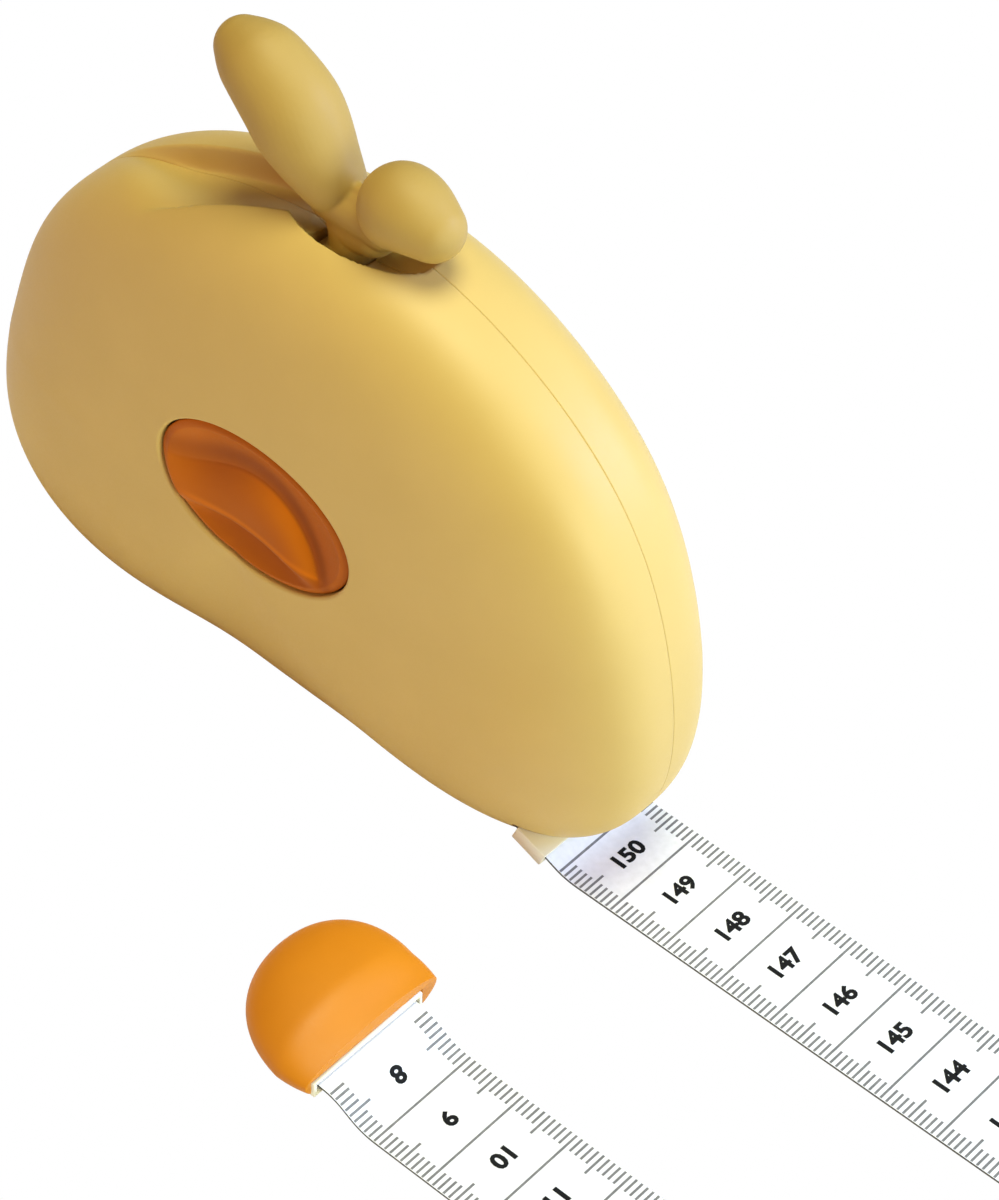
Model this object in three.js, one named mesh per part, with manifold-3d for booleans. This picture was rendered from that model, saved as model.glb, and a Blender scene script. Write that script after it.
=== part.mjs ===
import * as THREE from 'three';
import { mergeVertices } from 'three/addons/utils/BufferGeometryUtils.js';
import Module from 'manifold-3d';

// Retractable cloth tape measure, millimetres, base on z = 0, nose towards +X

// Case
const CASE_LENGTH = 131.4;
const CASE_HEIGHT = 91.5;
const HEART_HEIGHT = 38.5;
const WALL = 2.0;
const GAP = 0.3;
const OVERRUN = 1.0;
const WELD = 0.0001;
const OUTLINE_TRIALS = 720;
const OUTLINE_SHARES = [
  1.12, 1.076, 1.003, 0.929, 0.869, 0.866, 0.896, 0.937,
  0.995, 1.134, 1.041, 0.818, 0.777, 0.802, 0.97, 1.149,
];
const SIDE_POWERS = { round: 2.54, full: 3.15, lowRound: 1.4, lowFull: 1.75, noseShare: 0.65 };
const OUTER_STEPS = { around: 48, across: 10 };
const INNER_STEPS = { around: 28, across: 6 };
const FINE = 20;
const COARSE = 14;
const LOOP_STEPS = 24;
const COIL_STEPS = 9;
const TWIST_STEPS = 10;
const SETTLE_STEPS = 8;

// Stack across the case, from the tape in its drum out to the button side
const TAPE_WIDTH = 20;
const FLANGE_THICKNESS = 1.2;
const CAGE_GAP = 0.5;
const CAGE_THICKNESS = 0.9;
const CAGE_CLEARANCE = 0.7;
const BUTTON_TRAVEL = 2;
const BUTTON_FLANGE_THICKNESS = 1;
const FLANGE_SET = 1.5;
const TAPE_SPACE = TAPE_WIDTH / 2 + GAP;
const FLANGE_EDGE = TAPE_SPACE + FLANGE_THICKNESS;
const CAGE_Y = -FLANGE_EDGE - CAGE_GAP - CAGE_THICKNESS;
const BUTTON_FLANGE_Y = CAGE_Y - CAGE_CLEARANCE - BUTTON_TRAVEL - BUTTON_FLANGE_THICKNESS;
const CASE_HALF_WIDTH = FLANGE_SET + WALL - BUTTON_FLANGE_Y;

// Drum and its axle
const DRUM_X = -23;
const DRUM_Z = 42;
const HUB_RADIUS = 13;
const HUB_WALL = 1.2;
const FLANGE_RADIUS = 22.2;
const AXLE_RADIUS = 2.3;
const AXLE_HALF_LENGTH = CASE_HALF_WIDTH - FLANGE_SET - WALL;
const AXLE_BOSS_RADIUS = 4;
const SPRING_THICKNESS = 0.4;
const SPRING_WIDTH = 14;
const SPRING_TURNS = 4;
const LEADER_TURNS = 2;

// Tape
const TAPE_THICKNESS = 0.45;
const TAPE_LENGTH = 1420;
const TAPE_GAP = 0.75;
const LAST_LINE_AHEAD = 3.5;
const FIRST_LINE_X = 65.5;
const CASE_STRIP_Y = -0.4;
const TAB_STRIP_Y = -54;
const ROLL_X = 200;
const ROLL_RADIUS = 21.6;
const TWIST_LENGTH = 54;
const CASE_EDGE_RUN = 8;
const TAB_EDGE_RUN = 44;
const CASE_TWIST_X = ROLL_X - TWIST_LENGTH - CASE_EDGE_RUN;
const TAB_TWIST_X = ROLL_X - TWIST_LENGTH - TAB_EDGE_RUN;

// Mouth and roller
const MOUTH_BEHIND_NOSE = 14.7;
const MOUTH_X = CASE_LENGTH / 2 - MOUTH_BEHIND_NOSE;
const LAST_LINE_X = MOUTH_X + LAST_LINE_AHEAD;
const MOUTH_Z = 2.3;
const MOUTH_SLOPE = 22;
const MOUTH_DEPTH = 5;
const MOUTH_OPENING = 1.6;
const MOUTH_WALL = 0.7;
const MOUTH_SIDE_CLEARANCE = 0.4;
const SETTLE_LENGTH = 7;
const ROLLER_BEHIND_MOUTH = 18;
const ROLLER_X = MOUTH_X - ROLLER_BEHIND_MOUTH;
const ROLLER_RADIUS = 3;
const ROLLER_HALF_LENGTH = 8;
const ROLLER_PIN_RADIUS = 1;
const ROLLER_PIN_HALF_LENGTH = 10;
const ROLLER_BOSS_RADIUS = 2.2;

// Base plate moulded whole with the left shell
const BASE_BACK = -38;
const BASE_BEHIND_MOUTH = 21;
const BASE_FRONT = MOUTH_X - BASE_BEHIND_MOUTH;
const BASE_HALF_WIDTH = 5;

// Side button
const BUTTON_X = 2;
const BUTTON_Z = 47;
const BUTTON_HALF_LENGTH = 18.5;
const BUTTON_HALF_HEIGHT = 12.2;
const BUTTON_GAP = 0.45;
const BUTTON_FLANGE = 1.3;
const BUTTON_SKIN = 1.8;
const BUTTON_DISH = 2;
const BUTTON_TONGUE = 1.6;
const BUTTON_SPRING_RADIUS = 4;
const BUTTON_SPRING_WIRE = 0.3;
const BUTTON_SPRING_TURNS = 2;

// Release lever that brakes the near flange
const LEVER_X = 3;
const LEVER_Z = 29;
const LEVER_BOSS = 3;
const LEVER_THICKNESS = 1.4;
const LEVER_FACE_Y = -FLANGE_EDGE - (LEVER_THICKNESS - FLANGE_THICKNESS) / 2;
const LEVER_PIN_RADIUS = 1;
const LEVER_PIN_LENGTH = 4.5;
const LEVER_PIN_BACK_Y = LEVER_FACE_Y + LEVER_THICKNESS - LEVER_PIN_LENGTH;
const LEVER_BACK = 5;
const LEVER_SPRING_ABOVE_WEDGE = 4;
const WEDGE_X = 4.4;
const WEDGE_Z = 39.5;
const WEDGE_TIP_Y = CAGE_Y + CAGE_THICKNESS - GAP / 3;

// Crest lever
const HINGE_X = 4;
const HINGE_BELOW_TOP = 11;
const HINGE_Z = CASE_HEIGHT - HINGE_BELOW_TOP;
const HINGE_RADIUS = 2.8;
const HINGE_HALF_LENGTH = 4;
const HINGE_PIN_RADIUS = 1.2;
const HINGE_PIN_HALF_LENGTH = 10.5;
const BRAKE_TRAVEL = 15;
const SHOE_THICKNESS = 1.6;

// Shell screws, as shares of the case length and height
const SCREW_SHARES = [[-0.388, 0.295], [-0.32, 0.72], [0.297, 0.656], [0.342, 0.23]];
const SCREW_PLACES = SCREW_SHARES.map(([x, z]) => ({ x: x * CASE_LENGTH, z: z * CASE_HEIGHT }));
const SCREW_RADIUS = 1.2;
const SCREW_HEAD_RADIUS = 2.6;
const SCREW_HEAD_THICKNESS = 1.5;
const SCREW_HEAD_SINK = 8.6;
const SCREW_HEAD_Y = CASE_HALF_WIDTH - SCREW_HEAD_SINK;
const SCREW_LENGTH = 17.5;
const SCREW_TIP_Y = SCREW_HEAD_Y - SCREW_LENGTH;
const SCREW_BOSS_RADIUS = 3.8;

// Pull tab
const TAB_X = 51.9;
const TAB_Y = -53.6;
const TAB_HALF_LENGTH = 15.8;
const TAB_HALF_WIDTH = 14;
const TAB_HALF_HEIGHT = 5;
const TAB_MOUTH_X = 57;
const TAB_POCKET_DEPTH = 12;
const TAB_TAPE_Z = 3.6;
const TAB_SETTLE_LENGTH = 11;
const TAB_PIN_RADIUS = 1.2;

// Colours
const YELLOW = 0xdcb96b;
const ORANGE = 0xd97a24;
const BURNT_ORANGE = 0xc4651f;
const WHITE = 0xf2f0e8;
const CREAM = 0xf0e2c0;
const STEEL = 0xb4b7ba;
const BLACK = 0x2b2b2b;
const GREY = 0x8f9296;

const wasm = await Module();
wasm.setup();
const { cos, sin, tan, PI, sqrt, abs, max, min, atan2, hypot } = Math;
const radians = THREE.MathUtils.degToRad;

function toSolid(geometry) {
  const bare = geometry.index ? geometry.clone() : mergeVertices(geometry, WELD);
  bare.deleteAttribute('normal');
  bare.deleteAttribute('uv');
  const merged = mergeVertices(bare, WELD);
  return new wasm.Manifold(new wasm.Mesh({
    numProp: 3,
    vertProperties: Float32Array.from(merged.attributes.position.array),
    triVerts: Uint32Array.from(merged.index.array),
  }));
}

function toGeometry(solid) {
  const mesh = solid.getMesh();
  const geometry = new THREE.BufferGeometry();
  geometry.setAttribute('position', new THREE.BufferAttribute(mesh.vertProperties, 3));
  geometry.setIndex(new THREE.BufferAttribute(mesh.triVerts, 1));
  geometry.computeVertexNormals();
  return geometry;
}

// A closed body through rings of equal point counts, capped by fans at both ends;
// paired rings split both faces of a strip the same way, so a twist keeps its thickness
function skin(rings, paired = false) {
  const count = rings[0].length;
  const points = rings.flat();
  const faces = [];
  for (let i = 0; i + 1 < rings.length; i += 1) {
    for (let j = 0; j < count; j += 1) {
      const a = i * count + j;
      const b = i * count + (j + 1) % count;
      if (paired && j >= count / 2) {
        faces.push(a, b, b + count, a, b + count, a + count);
      } else {
        faces.push(a, b, a + count, b, b + count, a + count);
      }
    }
  }
  for (const [ring, flip] of [[0, true], [rings.length - 1, false]]) {
    const centre = new THREE.Vector3();
    rings[ring].forEach((p) => centre.add(p));
    points.push(centre.divideScalar(count));
    for (let j = 0; j < count; j += 1) {
      const a = ring * count + j;
      const b = ring * count + (j + 1) % count;
      faces.push(points.length - 1, flip ? b : a, flip ? a : b);
    }
  }
  const geometry = new THREE.BufferGeometry();
  geometry.setAttribute('position', new THREE.Float32BufferAttribute(
    points.flatMap((p) => [p.x, p.y, p.z]), 3));
  geometry.setIndex(faces);
  if (toSolidVolume(geometry) < 0) {
    const turned = faces.slice();
    for (let i = 0; i < turned.length; i += 3) {
      [turned[i], turned[i + 1]] = [turned[i + 1], turned[i]];
    }
    geometry.setIndex(turned);
  }
  geometry.computeVertexNormals();
  return geometry;
}

function toSolidVolume(geometry) {
  const p = geometry.attributes.position;
  const index = geometry.index.array;
  const corner = [0, 1, 2].map(() => new THREE.Vector3());
  let volume = 0;
  for (let i = 0; i < index.length; i += 3) {
    corner.forEach((c, k) => c.fromBufferAttribute(p, index[i + k]));
    volume += corner[0].dot(corner[1].clone().cross(corner[2])) / 6;
  }
  return volume;
}

function box(x0, x1, y0, y1, z0, z1) {
  const geometry = new THREE.BoxGeometry(x1 - x0, y1 - y0, z1 - z0);
  geometry.translate((x0 + x1) / 2, (y0 + y1) / 2, (z0 + z1) / 2);
  return toSolid(geometry);
}

function rodY(x, z, radius, y0, y1, sides = COARSE) {
  const geometry = new THREE.CylinderGeometry(radius, radius, y1 - y0, sides);
  geometry.translate(0, (y0 + y1) / 2, 0);
  geometry.translate(x, 0, z);
  return toSolid(geometry);
}

function ball(centre, radii, pitch = 0, steps = FINE) {
  const geometry = new THREE.SphereGeometry(1, steps, steps / 2);
  geometry.scale(...radii);
  geometry.rotateY(-pitch);
  geometry.translate(...centre);
  return toSolid(geometry);
}

// A plate with an outline in the xz plane, between two y values
function plate(outline, y0, y1) {
  const front = outline.map(([x, z]) => new THREE.Vector2(x, z));
  const shape = new THREE.Shape(front);
  const geometry = new THREE.ExtrudeGeometry(shape, { depth: y1 - y0, bevelEnabled: false });
  geometry.rotateX(PI / 2);
  geometry.translate(0, y1, 0);
  return toSolid(geometry);
}

function joined(parts) {
  return parts.reduce((whole, part) => whole.add(part));
}

// Radius of the case outline about its heart, by smooth interpolation between shares
function outlineShare(angle) {
  const count = OUTLINE_SHARES.length;
  return OUTLINE_SHARES.reduce((sum, share, k) => {
    const x = angle - (2 * PI * k) / count;
    const half = tan(x / 2);
    const weight = abs(sin(x / 2)) < WELD ? 1 : sin((count / 2) * x) / (count * half);
    return sum + share * weight;
  }, 0);
}

function outlineScale() {
  const trial = Array.from(
    { length: OUTLINE_TRIALS }, (_, i) => (2 * PI * i) / OUTLINE_TRIALS);
  const xs = trial.map((a) => outlineShare(a) * cos(a));
  const top = max(...trial.map((a) => outlineShare(a) * sin(a)));
  const x = CASE_LENGTH / (max(...xs) - min(...xs));
  return {
    x,
    z: (CASE_HEIGHT - HEART_HEIGHT) / top,
    heartX: -(x * (max(...xs) + min(...xs))) / 2,
  };
}

const SCALE = outlineScale();

// A ring of the body at one share of the way from the side (0) to the seam (1)
function bodyRing(turn, side, inset, around) {
  return Array.from({ length: around }, (_, i) => {
    const angle = (2 * PI * i) / around;
    const low = max(-sin(angle), 0) * (1 - SIDE_POWERS.noseShare * max(cos(angle), 0) ** 2);
    const p = SIDE_POWERS.round - (SIDE_POWERS.round - SIDE_POWERS.lowRound) * low;
    const q = SIDE_POWERS.full - (SIDE_POWERS.full - SIDE_POWERS.lowFull) * low;
    const share = outlineShare(angle);
    const radius = hypot(SCALE.x * cos(angle), SCALE.z * sin(angle)) * share;
    const reach = ((radius - inset) / radius) * share * sin(turn) ** (2 / p);
    return new THREE.Vector3(
      SCALE.heartX + SCALE.x * reach * cos(angle),
      side * (CASE_HALF_WIDTH - inset) * max(cos(turn), 0) ** (2 / q),
      HEART_HEIGHT + SCALE.z * reach * sin(angle),
    );
  });
}

function body(inset, steps) {
  const rings = [];
  for (let i = 1; i <= steps.across; i += 1) {
    rings.push(bodyRing((PI / 2) * (i / steps.across), 1, inset, steps.around));
  }
  for (let i = steps.across - 1; i >= 1; i -= 1) {
    rings.push(bodyRing((PI / 2) * (i / steps.across), -1, inset, steps.around));
  }
  const geometry = skin(rings);
  const p = geometry.attributes.position;
  const last = p.count - 1;
  p.setY(last - 1, CASE_HALF_WIDTH - inset);
  p.setY(last, inset - CASE_HALF_WIDTH);
  return toSolid(geometry);
}

// Half width of the outer surface at one place on the side
function sideHeight(x, z, inset = 0) {
  const dx = (x - SCALE.heartX) / SCALE.x;
  const dz = (z - HEART_HEIGHT) / SCALE.z;
  const angle = atan2(dz, dx);
  const low = max(-sin(angle), 0) * (1 - SIDE_POWERS.noseShare * max(cos(angle), 0) ** 2);
  const p = SIDE_POWERS.round - (SIDE_POWERS.round - SIDE_POWERS.lowRound) * low;
  const q = SIDE_POWERS.full - (SIDE_POWERS.full - SIDE_POWERS.lowFull) * low;
  const share = outlineShare(angle);
  const radius = hypot(SCALE.x * cos(angle), SCALE.z * sin(angle)) * share;
  const part = hypot(dx, dz) / (share * ((radius - inset) / radius));
  return (CASE_HALF_WIDTH - inset) * max(1 - part ** p, 0) ** (1 / q);
}

// A flat ribbon along frames, each a centre with its width and thickness directions
function ribbon(frames, width, thickness) {
  return skin(frames.map(({ at, across, up }) => [[-1, -1], [1, -1], [1, 1], [-1, 1]].map(
    ([u, v]) => at.clone()
      .addScaledVector(across, (u * width) / 2)
      .addScaledVector(up, (v * thickness) / 2))), true);
}

// A wound band in the xz plane, width along y
function windingFrames(turns, startRadius, pitch, startAngle, centre) {
  const steps = turns * LOOP_STEPS;
  return Array.from({ length: steps + 1 }, (_, i) => {
    const angle = startAngle + (2 * PI * i) / LOOP_STEPS;
    const radius = startRadius + (pitch * i) / LOOP_STEPS;
    const out = new THREE.Vector3(cos(angle), 0, sin(angle));
    return {
      at: out.clone().multiplyScalar(radius).add(centre),
      across: new THREE.Vector3(0, 1, 0),
      up: out,
    };
  });
}

function helix(centre, axis, side, radius, wire, length, turns) {
  const up = axis.clone().cross(side);
  const points = Array.from({ length: turns * COIL_STEPS + 1 }, (_, i) => {
    const angle = (2 * PI * i) / COIL_STEPS;
    return centre.clone()
      .addScaledVector(axis, (length * i) / (turns * COIL_STEPS))
      .addScaledVector(side, radius * cos(angle))
      .addScaledVector(up, radius * sin(angle));
  });
  const path = new THREE.CatmullRomCurve3(points);
  const circle = new THREE.Shape();
  circle.absarc(0, 0, wire, 0, 2 * PI);
  return new THREE.ExtrudeGeometry(circle, {
    steps: turns * COIL_STEPS, extrudePath: path, curveSegments: 3, bevelEnabled: false,
  });
}

const group = new THREE.Group();

function place(name, geometry, color, roughness = 0.6, metalness = 0) {
  const material = new THREE.MeshStandardMaterial({ color, roughness, metalness });
  const mesh = new THREE.Mesh(geometry, material);
  mesh.name = name;
  group.add(mesh);
  return mesh;
}

// Tape route: frames hold a centre, the travel direction and the printed side
function frame(at, travel, up) {
  return { at, up, across: up.clone().cross(travel).normalize() };
}

function mouthPoint(along, off = 0) {
  const a = radians(MOUTH_SLOPE);
  return new THREE.Vector3(
    MOUTH_X + along * cos(a) + off * sin(a),
    0,
    MOUTH_Z - along * sin(a) + off * cos(a),
  );
}

const LEADER_PITCH = TAPE_THICKNESS + TAPE_GAP;
const LEADER_START = HUB_RADIUS + GAP + TAPE_THICKNESS / 2;
const LEADER_END = LEADER_START + LEADER_PITCH * LEADER_TURNS;
const LEAVING_RADIUS = LEADER_END + TAPE_THICKNESS + GAP;
const ROLLER_CONTACT = mouthPoint((ROLLER_X - MOUTH_X) / cos(radians(MOUTH_SLOPE)));

function drumTangent() {
  const dx = ROLLER_CONTACT.x - DRUM_X;
  const dz = ROLLER_CONTACT.z - DRUM_Z;
  return atan2(dz, dx) + Math.asin(LEAVING_RADIUS / hypot(dx, dz));
}

function smooth(t) {
  return t * t * (3 - 2 * t);
}

function twistFrame(x, y, turn, heading) {
  const up = new THREE.Vector3(0, -heading * sin(turn), cos(turn));
  const z = (TAPE_WIDTH / 2) * sin(turn) + (TAPE_THICKNESS / 2) * cos(turn);
  return frame(new THREE.Vector3(x, y, z), new THREE.Vector3(heading, 0, 0), up);
}

function caseStripFrames() {
  const angle = drumTangent();
  const start = new THREE.Vector3(
    DRUM_X + LEAVING_RADIUS * sin(angle),
    0,
    DRUM_Z - LEAVING_RADIUS * cos(angle),
  );
  const settled = new THREE.Vector3(MOUTH_X + SETTLE_LENGTH, 0, TAPE_THICKNESS / 2);
  const settle = new THREE.CubicBezierCurve3(
    mouthPoint(0), mouthPoint(SETTLE_LENGTH / 3),
    settled.clone().setX(MOUTH_X + SETTLE_LENGTH / 2), settled);
  const line = [start, ROLLER_CONTACT.clone().add(new THREE.Vector3(-GAP, 0, GAP * tan(-angle)))];
  line.push(mouthPoint(-MOUTH_DEPTH), ...settle.getPoints(SETTLE_STEPS));
  const frames = line.map((at, i) => {
    const last = i === line.length - 1;
    const before = last ? at : line[max(i - 1, 0)];
    const after = last ? at.clone().setX(at.x + GAP) : line[i + 1];
    const travel = after.clone().sub(before).normalize();
    const y = at.x < ROLLER_X ? 0 : CASE_STRIP_Y;
    return frame(at.clone().setY(y), travel, new THREE.Vector3(-travel.z, 0, travel.x));
  });
  for (let i = 0; i <= TWIST_STEPS; i += 1) {
    const share = i / TWIST_STEPS;
    const x = CASE_TWIST_X + TWIST_LENGTH * share;
    frames.push(twistFrame(x, CASE_STRIP_Y, (PI / 2) * smooth(share), 1));
  }
  frames.push(twistFrame(ROLL_X - GAP, CASE_STRIP_Y, PI / 2, 1));
  return frames;
}

const ROLL_Y = CASE_STRIP_Y - ROLL_RADIUS;
const TURN_RADIUS = (ROLL_Y - ROLL_RADIUS - TAB_STRIP_Y) / 2;

function edgeFrame(x, y, heading) {
  const travel = new THREE.Vector3(cos(heading), sin(heading), 0);
  return frame(
    new THREE.Vector3(x, y, TAPE_WIDTH / 2), travel,
    new THREE.Vector3(travel.y, -travel.x, 0));
}

function rollFrames() {
  const rise = PI / 2;
  const twist = 2 * (hypot(TWIST_LENGTH, TAPE_WIDTH / 2) - TWIST_LENGTH);
  const straight = (ROLL_X - LAST_LINE_X) + (ROLL_X - FIRST_LINE_X);
  const length = TAPE_LENGTH - straight - twist - PI * TURN_RADIUS;
  const pitch = LEADER_PITCH;
  const square = ROLL_RADIUS ** 2 - (length * pitch) / PI;
  const core = (pitch + sqrt(pitch ** 2 + 4 * square)) / 2;
  const sweep = ((ROLL_RADIUS - core) * PI) / pitch;
  const steps = Math.round((sweep * LOOP_STEPS) / (2 * PI));
  const frames = [];
  const arm = (from, side) => {
    for (let i = 0; i <= steps; i += 1) {
      const t = side > 0 ? i / steps : 1 - i / steps;
      const angle = from - sweep * t;
      const radius = ROLL_RADIUS - (ROLL_RADIUS - core) * t;
      const heading = angle - side * rise;
      frames.push(edgeFrame(ROLL_X + radius * cos(angle), ROLL_Y + radius * sin(angle), heading));
    }
  };
  arm(rise, 1);
  const inner = rise - sweep;
  for (const half of [1, -1]) {
    for (let i = 1; i < LOOP_STEPS / 2; i += 1) {
      const turn = inner - half * ((2 * PI * i) / LOOP_STEPS);
      const x = ROLL_X + half * (core / 2) * cos(inner) + (core / 2) * cos(turn);
      const y = ROLL_Y + half * (core / 2) * sin(inner) + (core / 2) * sin(turn);
      frames.push(edgeFrame(x, y, turn - half * rise));
    }
    if (half > 0) frames.push(edgeFrame(ROLL_X, ROLL_Y, inner - PI - rise));
  }
  arm(-rise, -1);
  return frames;
}

// Least distance between layers that aren't neighbours along the tape, face to face
function leastGap(frames, thickness) {
  let least = Infinity;
  frames.forEach((a, i) => {
    frames.slice(i + LOOP_STEPS / 2).forEach((b) => {
      const away = b.at.clone().sub(a.at);
      const across = abs(away.dot(a.up));
      const along = sqrt(max(away.lengthSq() - across ** 2, 0));
      if (along < thickness * 2) least = min(least, across);
    });
  });
  return least - thickness;
}

function tabStripFrames() {
  const x = ROLL_X + GAP;
  const y = ROLL_Y - ROLL_RADIUS;
  const frames = [edgeFrame(x, y, 0)];
  for (let i = 0; i <= LOOP_STEPS / 2; i += 1) {
    const turn = (2 * PI * i) / LOOP_STEPS;
    frames.push(edgeFrame(
      x + GAP + TURN_RADIUS * sin(turn),
      y - TURN_RADIUS * (1 - cos(turn)), -turn));
  }
  for (let i = 0; i <= TWIST_STEPS; i += 1) {
    const share = i / TWIST_STEPS;
    const at = TAB_TWIST_X + TWIST_LENGTH * (1 - share);
    frames.push(twistFrame(at, TAB_STRIP_Y, (PI / 2) * (1 - smooth(share)), -1));
  }
  const curve = new THREE.CubicBezierCurve3(
    new THREE.Vector3(TAB_MOUTH_X + TAB_SETTLE_LENGTH, TAB_STRIP_Y, TAPE_THICKNESS / 2),
    new THREE.Vector3(TAB_MOUTH_X + TAB_SETTLE_LENGTH / 2, TAB_STRIP_Y, TAPE_THICKNESS / 2),
    new THREE.Vector3(TAB_MOUTH_X + TAB_SETTLE_LENGTH / 2, TAB_STRIP_Y, TAB_TAPE_Z),
    new THREE.Vector3(TAB_MOUTH_X, TAB_STRIP_Y, TAB_TAPE_Z));
  const points = curve.getPoints(SETTLE_STEPS);
  points.push(points[SETTLE_STEPS].clone().setX(TAB_PIN_X + TAB_PIN_RADIUS + GAP));
  points.forEach((at, i) => {
    const travel = (points[i + 1] ?? at).clone().sub(points[max(i - 1, 0)]).normalize();
    frames.push(frame(at, travel, new THREE.Vector3(travel.z, 0, -travel.x)));
  });
  return frames;
}

// Crest: two lobes on one neck, rocking on the hinge pin
const LARGE_LOBE = [
  { ahead: -20.4, above: 29, radius: 4.3 },
  { ahead: -16, above: 27.1, radius: 6.3 },
  { ahead: -12, above: 23.9, radius: 6.9 },
  { ahead: -9, above: 20.2, radius: 6.6 },
  { ahead: -4, above: 14.7, radius: 4.8 },
];
const SMALL_LOBE = [
  { ahead: 8.6, above: 16.8, radius: 5.9 },
  { ahead: 10, above: 17.6, radius: 6.2 },
  { ahead: 14.8, above: 16.9, radius: 4.7 },
];
const CAP_STEPS = 3;
const NECK = [[-2.6, 0], [2.6, 0], [5.5, 15.5], [-6.5, 11.5]];
const NECK_HALF_WIDTH = 3;
const ARM_HALF_WIDTH = 2.5;
const FOOT_DEPTH = 4;
const SHOE_WIDTH = 2.4;
const FOOT_REACH_Y = (TAPE_SPACE + FLANGE_EDGE + SHOE_WIDTH) / 2;
const SHOE_HALF_LENGTH = 4;
const WELL = { ahead: 1.6, above: 11.1, radii: [13.2, 7.1, 6.4] };
const GROOVE = { ahead: -22, above: 13, radii: [22, 15, 7.6] };
const LINING = 1.6;

// The skin round balls set along a smooth line, each station a place and its ball's radius
function lobe(stations, grow) {
  const line = new THREE.CatmullRomCurve3(
    stations.map((station) => new THREE.Vector3(...fromHinge(station))));
  const radiusAt = (t) => {
    const i = min(Math.floor(t * (stations.length - 1)), stations.length - 2);
    const part = t * (stations.length - 1) - i;
    return stations[i].radius * (1 - part) + stations[i + 1].radius * part + grow;
  };
  const rings = [];
  const ring = (t, lean) => {
    const tangent = line.getTangent(t);
    const up = new THREE.Vector3(-tangent.z, 0, tangent.x);
    const radius = radiusAt(t);
    const at = line.getPoint(t).addScaledVector(tangent, radius * sin(lean));
    rings.push(Array.from({ length: COARSE }, (_, j) => {
      const angle = (2 * PI * j) / COARSE;
      return at.clone()
        .addScaledVector(up, radius * cos(lean) * cos(angle))
        .add(new THREE.Vector3(0, radius * cos(lean) * sin(angle), 0));
    }));
  };
  const lean = (i) => (PI / 2) * ((i + 0.5) / (CAP_STEPS + 0.5));
  for (let i = CAP_STEPS - 1; i >= 0; i -= 1) ring(0, -lean(i));
  for (let i = 1; i < 2 * CAP_STEPS; i += 1) ring(i / (2 * CAP_STEPS), 0);
  for (let i = 0; i < CAP_STEPS; i += 1) ring(1, lean(i));
  return toSolid(skin(rings));
}

function neck(grow) {
  const outline = NECK.map(([x, z], i) => [
    HINGE_X + x + grow * (i === 0 || i === 3 ? -1 : 1), HINGE_Z + z]);
  return plate(outline, -NECK_HALF_WIDTH - grow, NECK_HALF_WIDTH + grow);
}

// Turns a solid about the crest hinge; positive folds the crest back
function rocked(solid, degrees) {
  return solid.translate([-HINGE_X, 0, -HINGE_Z])
    .rotate([0, -degrees, 0])
    .translate([HINGE_X, 0, HINGE_Z]);
}

// A block given in the arm's own frame, from the hinge along the rest direction
function armBlock(near, far, half, y0, y1) {
  const toDrum = THREE.MathUtils.radToDeg(atan2(DRUM_Z - HINGE_Z, DRUM_X - HINGE_X));
  const straight = box(HINGE_X + near, HINGE_X + far, y0, y1, HINGE_Z - half, HINGE_Z + half);
  return rocked(straight, toDrum - BRAKE_TRAVEL);
}

function fromHinge({ ahead, above }) {
  return [HINGE_X + ahead, 0, HINGE_Z + above];
}

function shoeFace() {
  return hypot(DRUM_X - HINGE_X, DRUM_Z - HINGE_Z) - FLANGE_RADIUS - GAP;
}

function crestLever() {
  const foot = shoeFace() - SHOE_THICKNESS - GAP;
  const whole = joined([
    lobe(LARGE_LOBE, 0), lobe(SMALL_LOBE, 0), neck(0),
    rodY(HINGE_X, HINGE_Z, HINGE_RADIUS, -HINGE_HALF_LENGTH, HINGE_HALF_LENGTH),
    armBlock(0, foot, ARM_HALF_WIDTH, -NECK_HALF_WIDTH, NECK_HALF_WIDTH),
    armBlock(foot - FOOT_DEPTH, foot, ARM_HALF_WIDTH, -NECK_HALF_WIDTH, FOOT_REACH_Y),
  ]);
  return whole.subtract(rodY(
    HINGE_X, HINGE_Z, HINGE_PIN_RADIUS + GAP,
    -HINGE_HALF_LENGTH - OVERRUN, HINGE_HALF_LENGTH + OVERRUN));
}

// Everything the crest needs free in the top of the case
function crestRoom() {
  const parts = [
    ball(fromHinge(WELL), WELL.radii), ball(fromHinge(GROOVE), GROOVE.radii),
  ];
  for (let turn = 0; turn <= BRAKE_TRAVEL; turn += BRAKE_TRAVEL / 3) {
    parts.push(rocked(lobe(LARGE_LOBE, GAP), turn), rocked(neck(GAP), turn));
  }
  return joined(parts);
}

function crestLining() {
  const grown = (shape) => ball(fromHinge(shape), shape.radii.map((r) => r + LINING));
  const wide = lobe(LARGE_LOBE, GAP + LINING);
  return joined([grown(WELL), grown(GROOVE), wide, rocked(wide, BRAKE_TRAVEL)]);
}

// Shells
function ellipseOutline(a, b, steps) {
  return Array.from({ length: steps }, (_, i) => [
    BUTTON_X + a * cos((2 * PI * i) / steps), BUTTON_Z + b * sin((2 * PI * i) / steps),
  ]);
}

function mouthBlock(near, far, halfWidth, halfHeight) {
  const geometry = new THREE.BoxGeometry(far - near, 2 * halfWidth, 2 * halfHeight);
  geometry.rotateY(radians(MOUTH_SLOPE));
  const middle = mouthPoint((near + far) / 2);
  geometry.translate(middle.x, CASE_STRIP_Y, middle.z);
  return toSolid(geometry);
}

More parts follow.
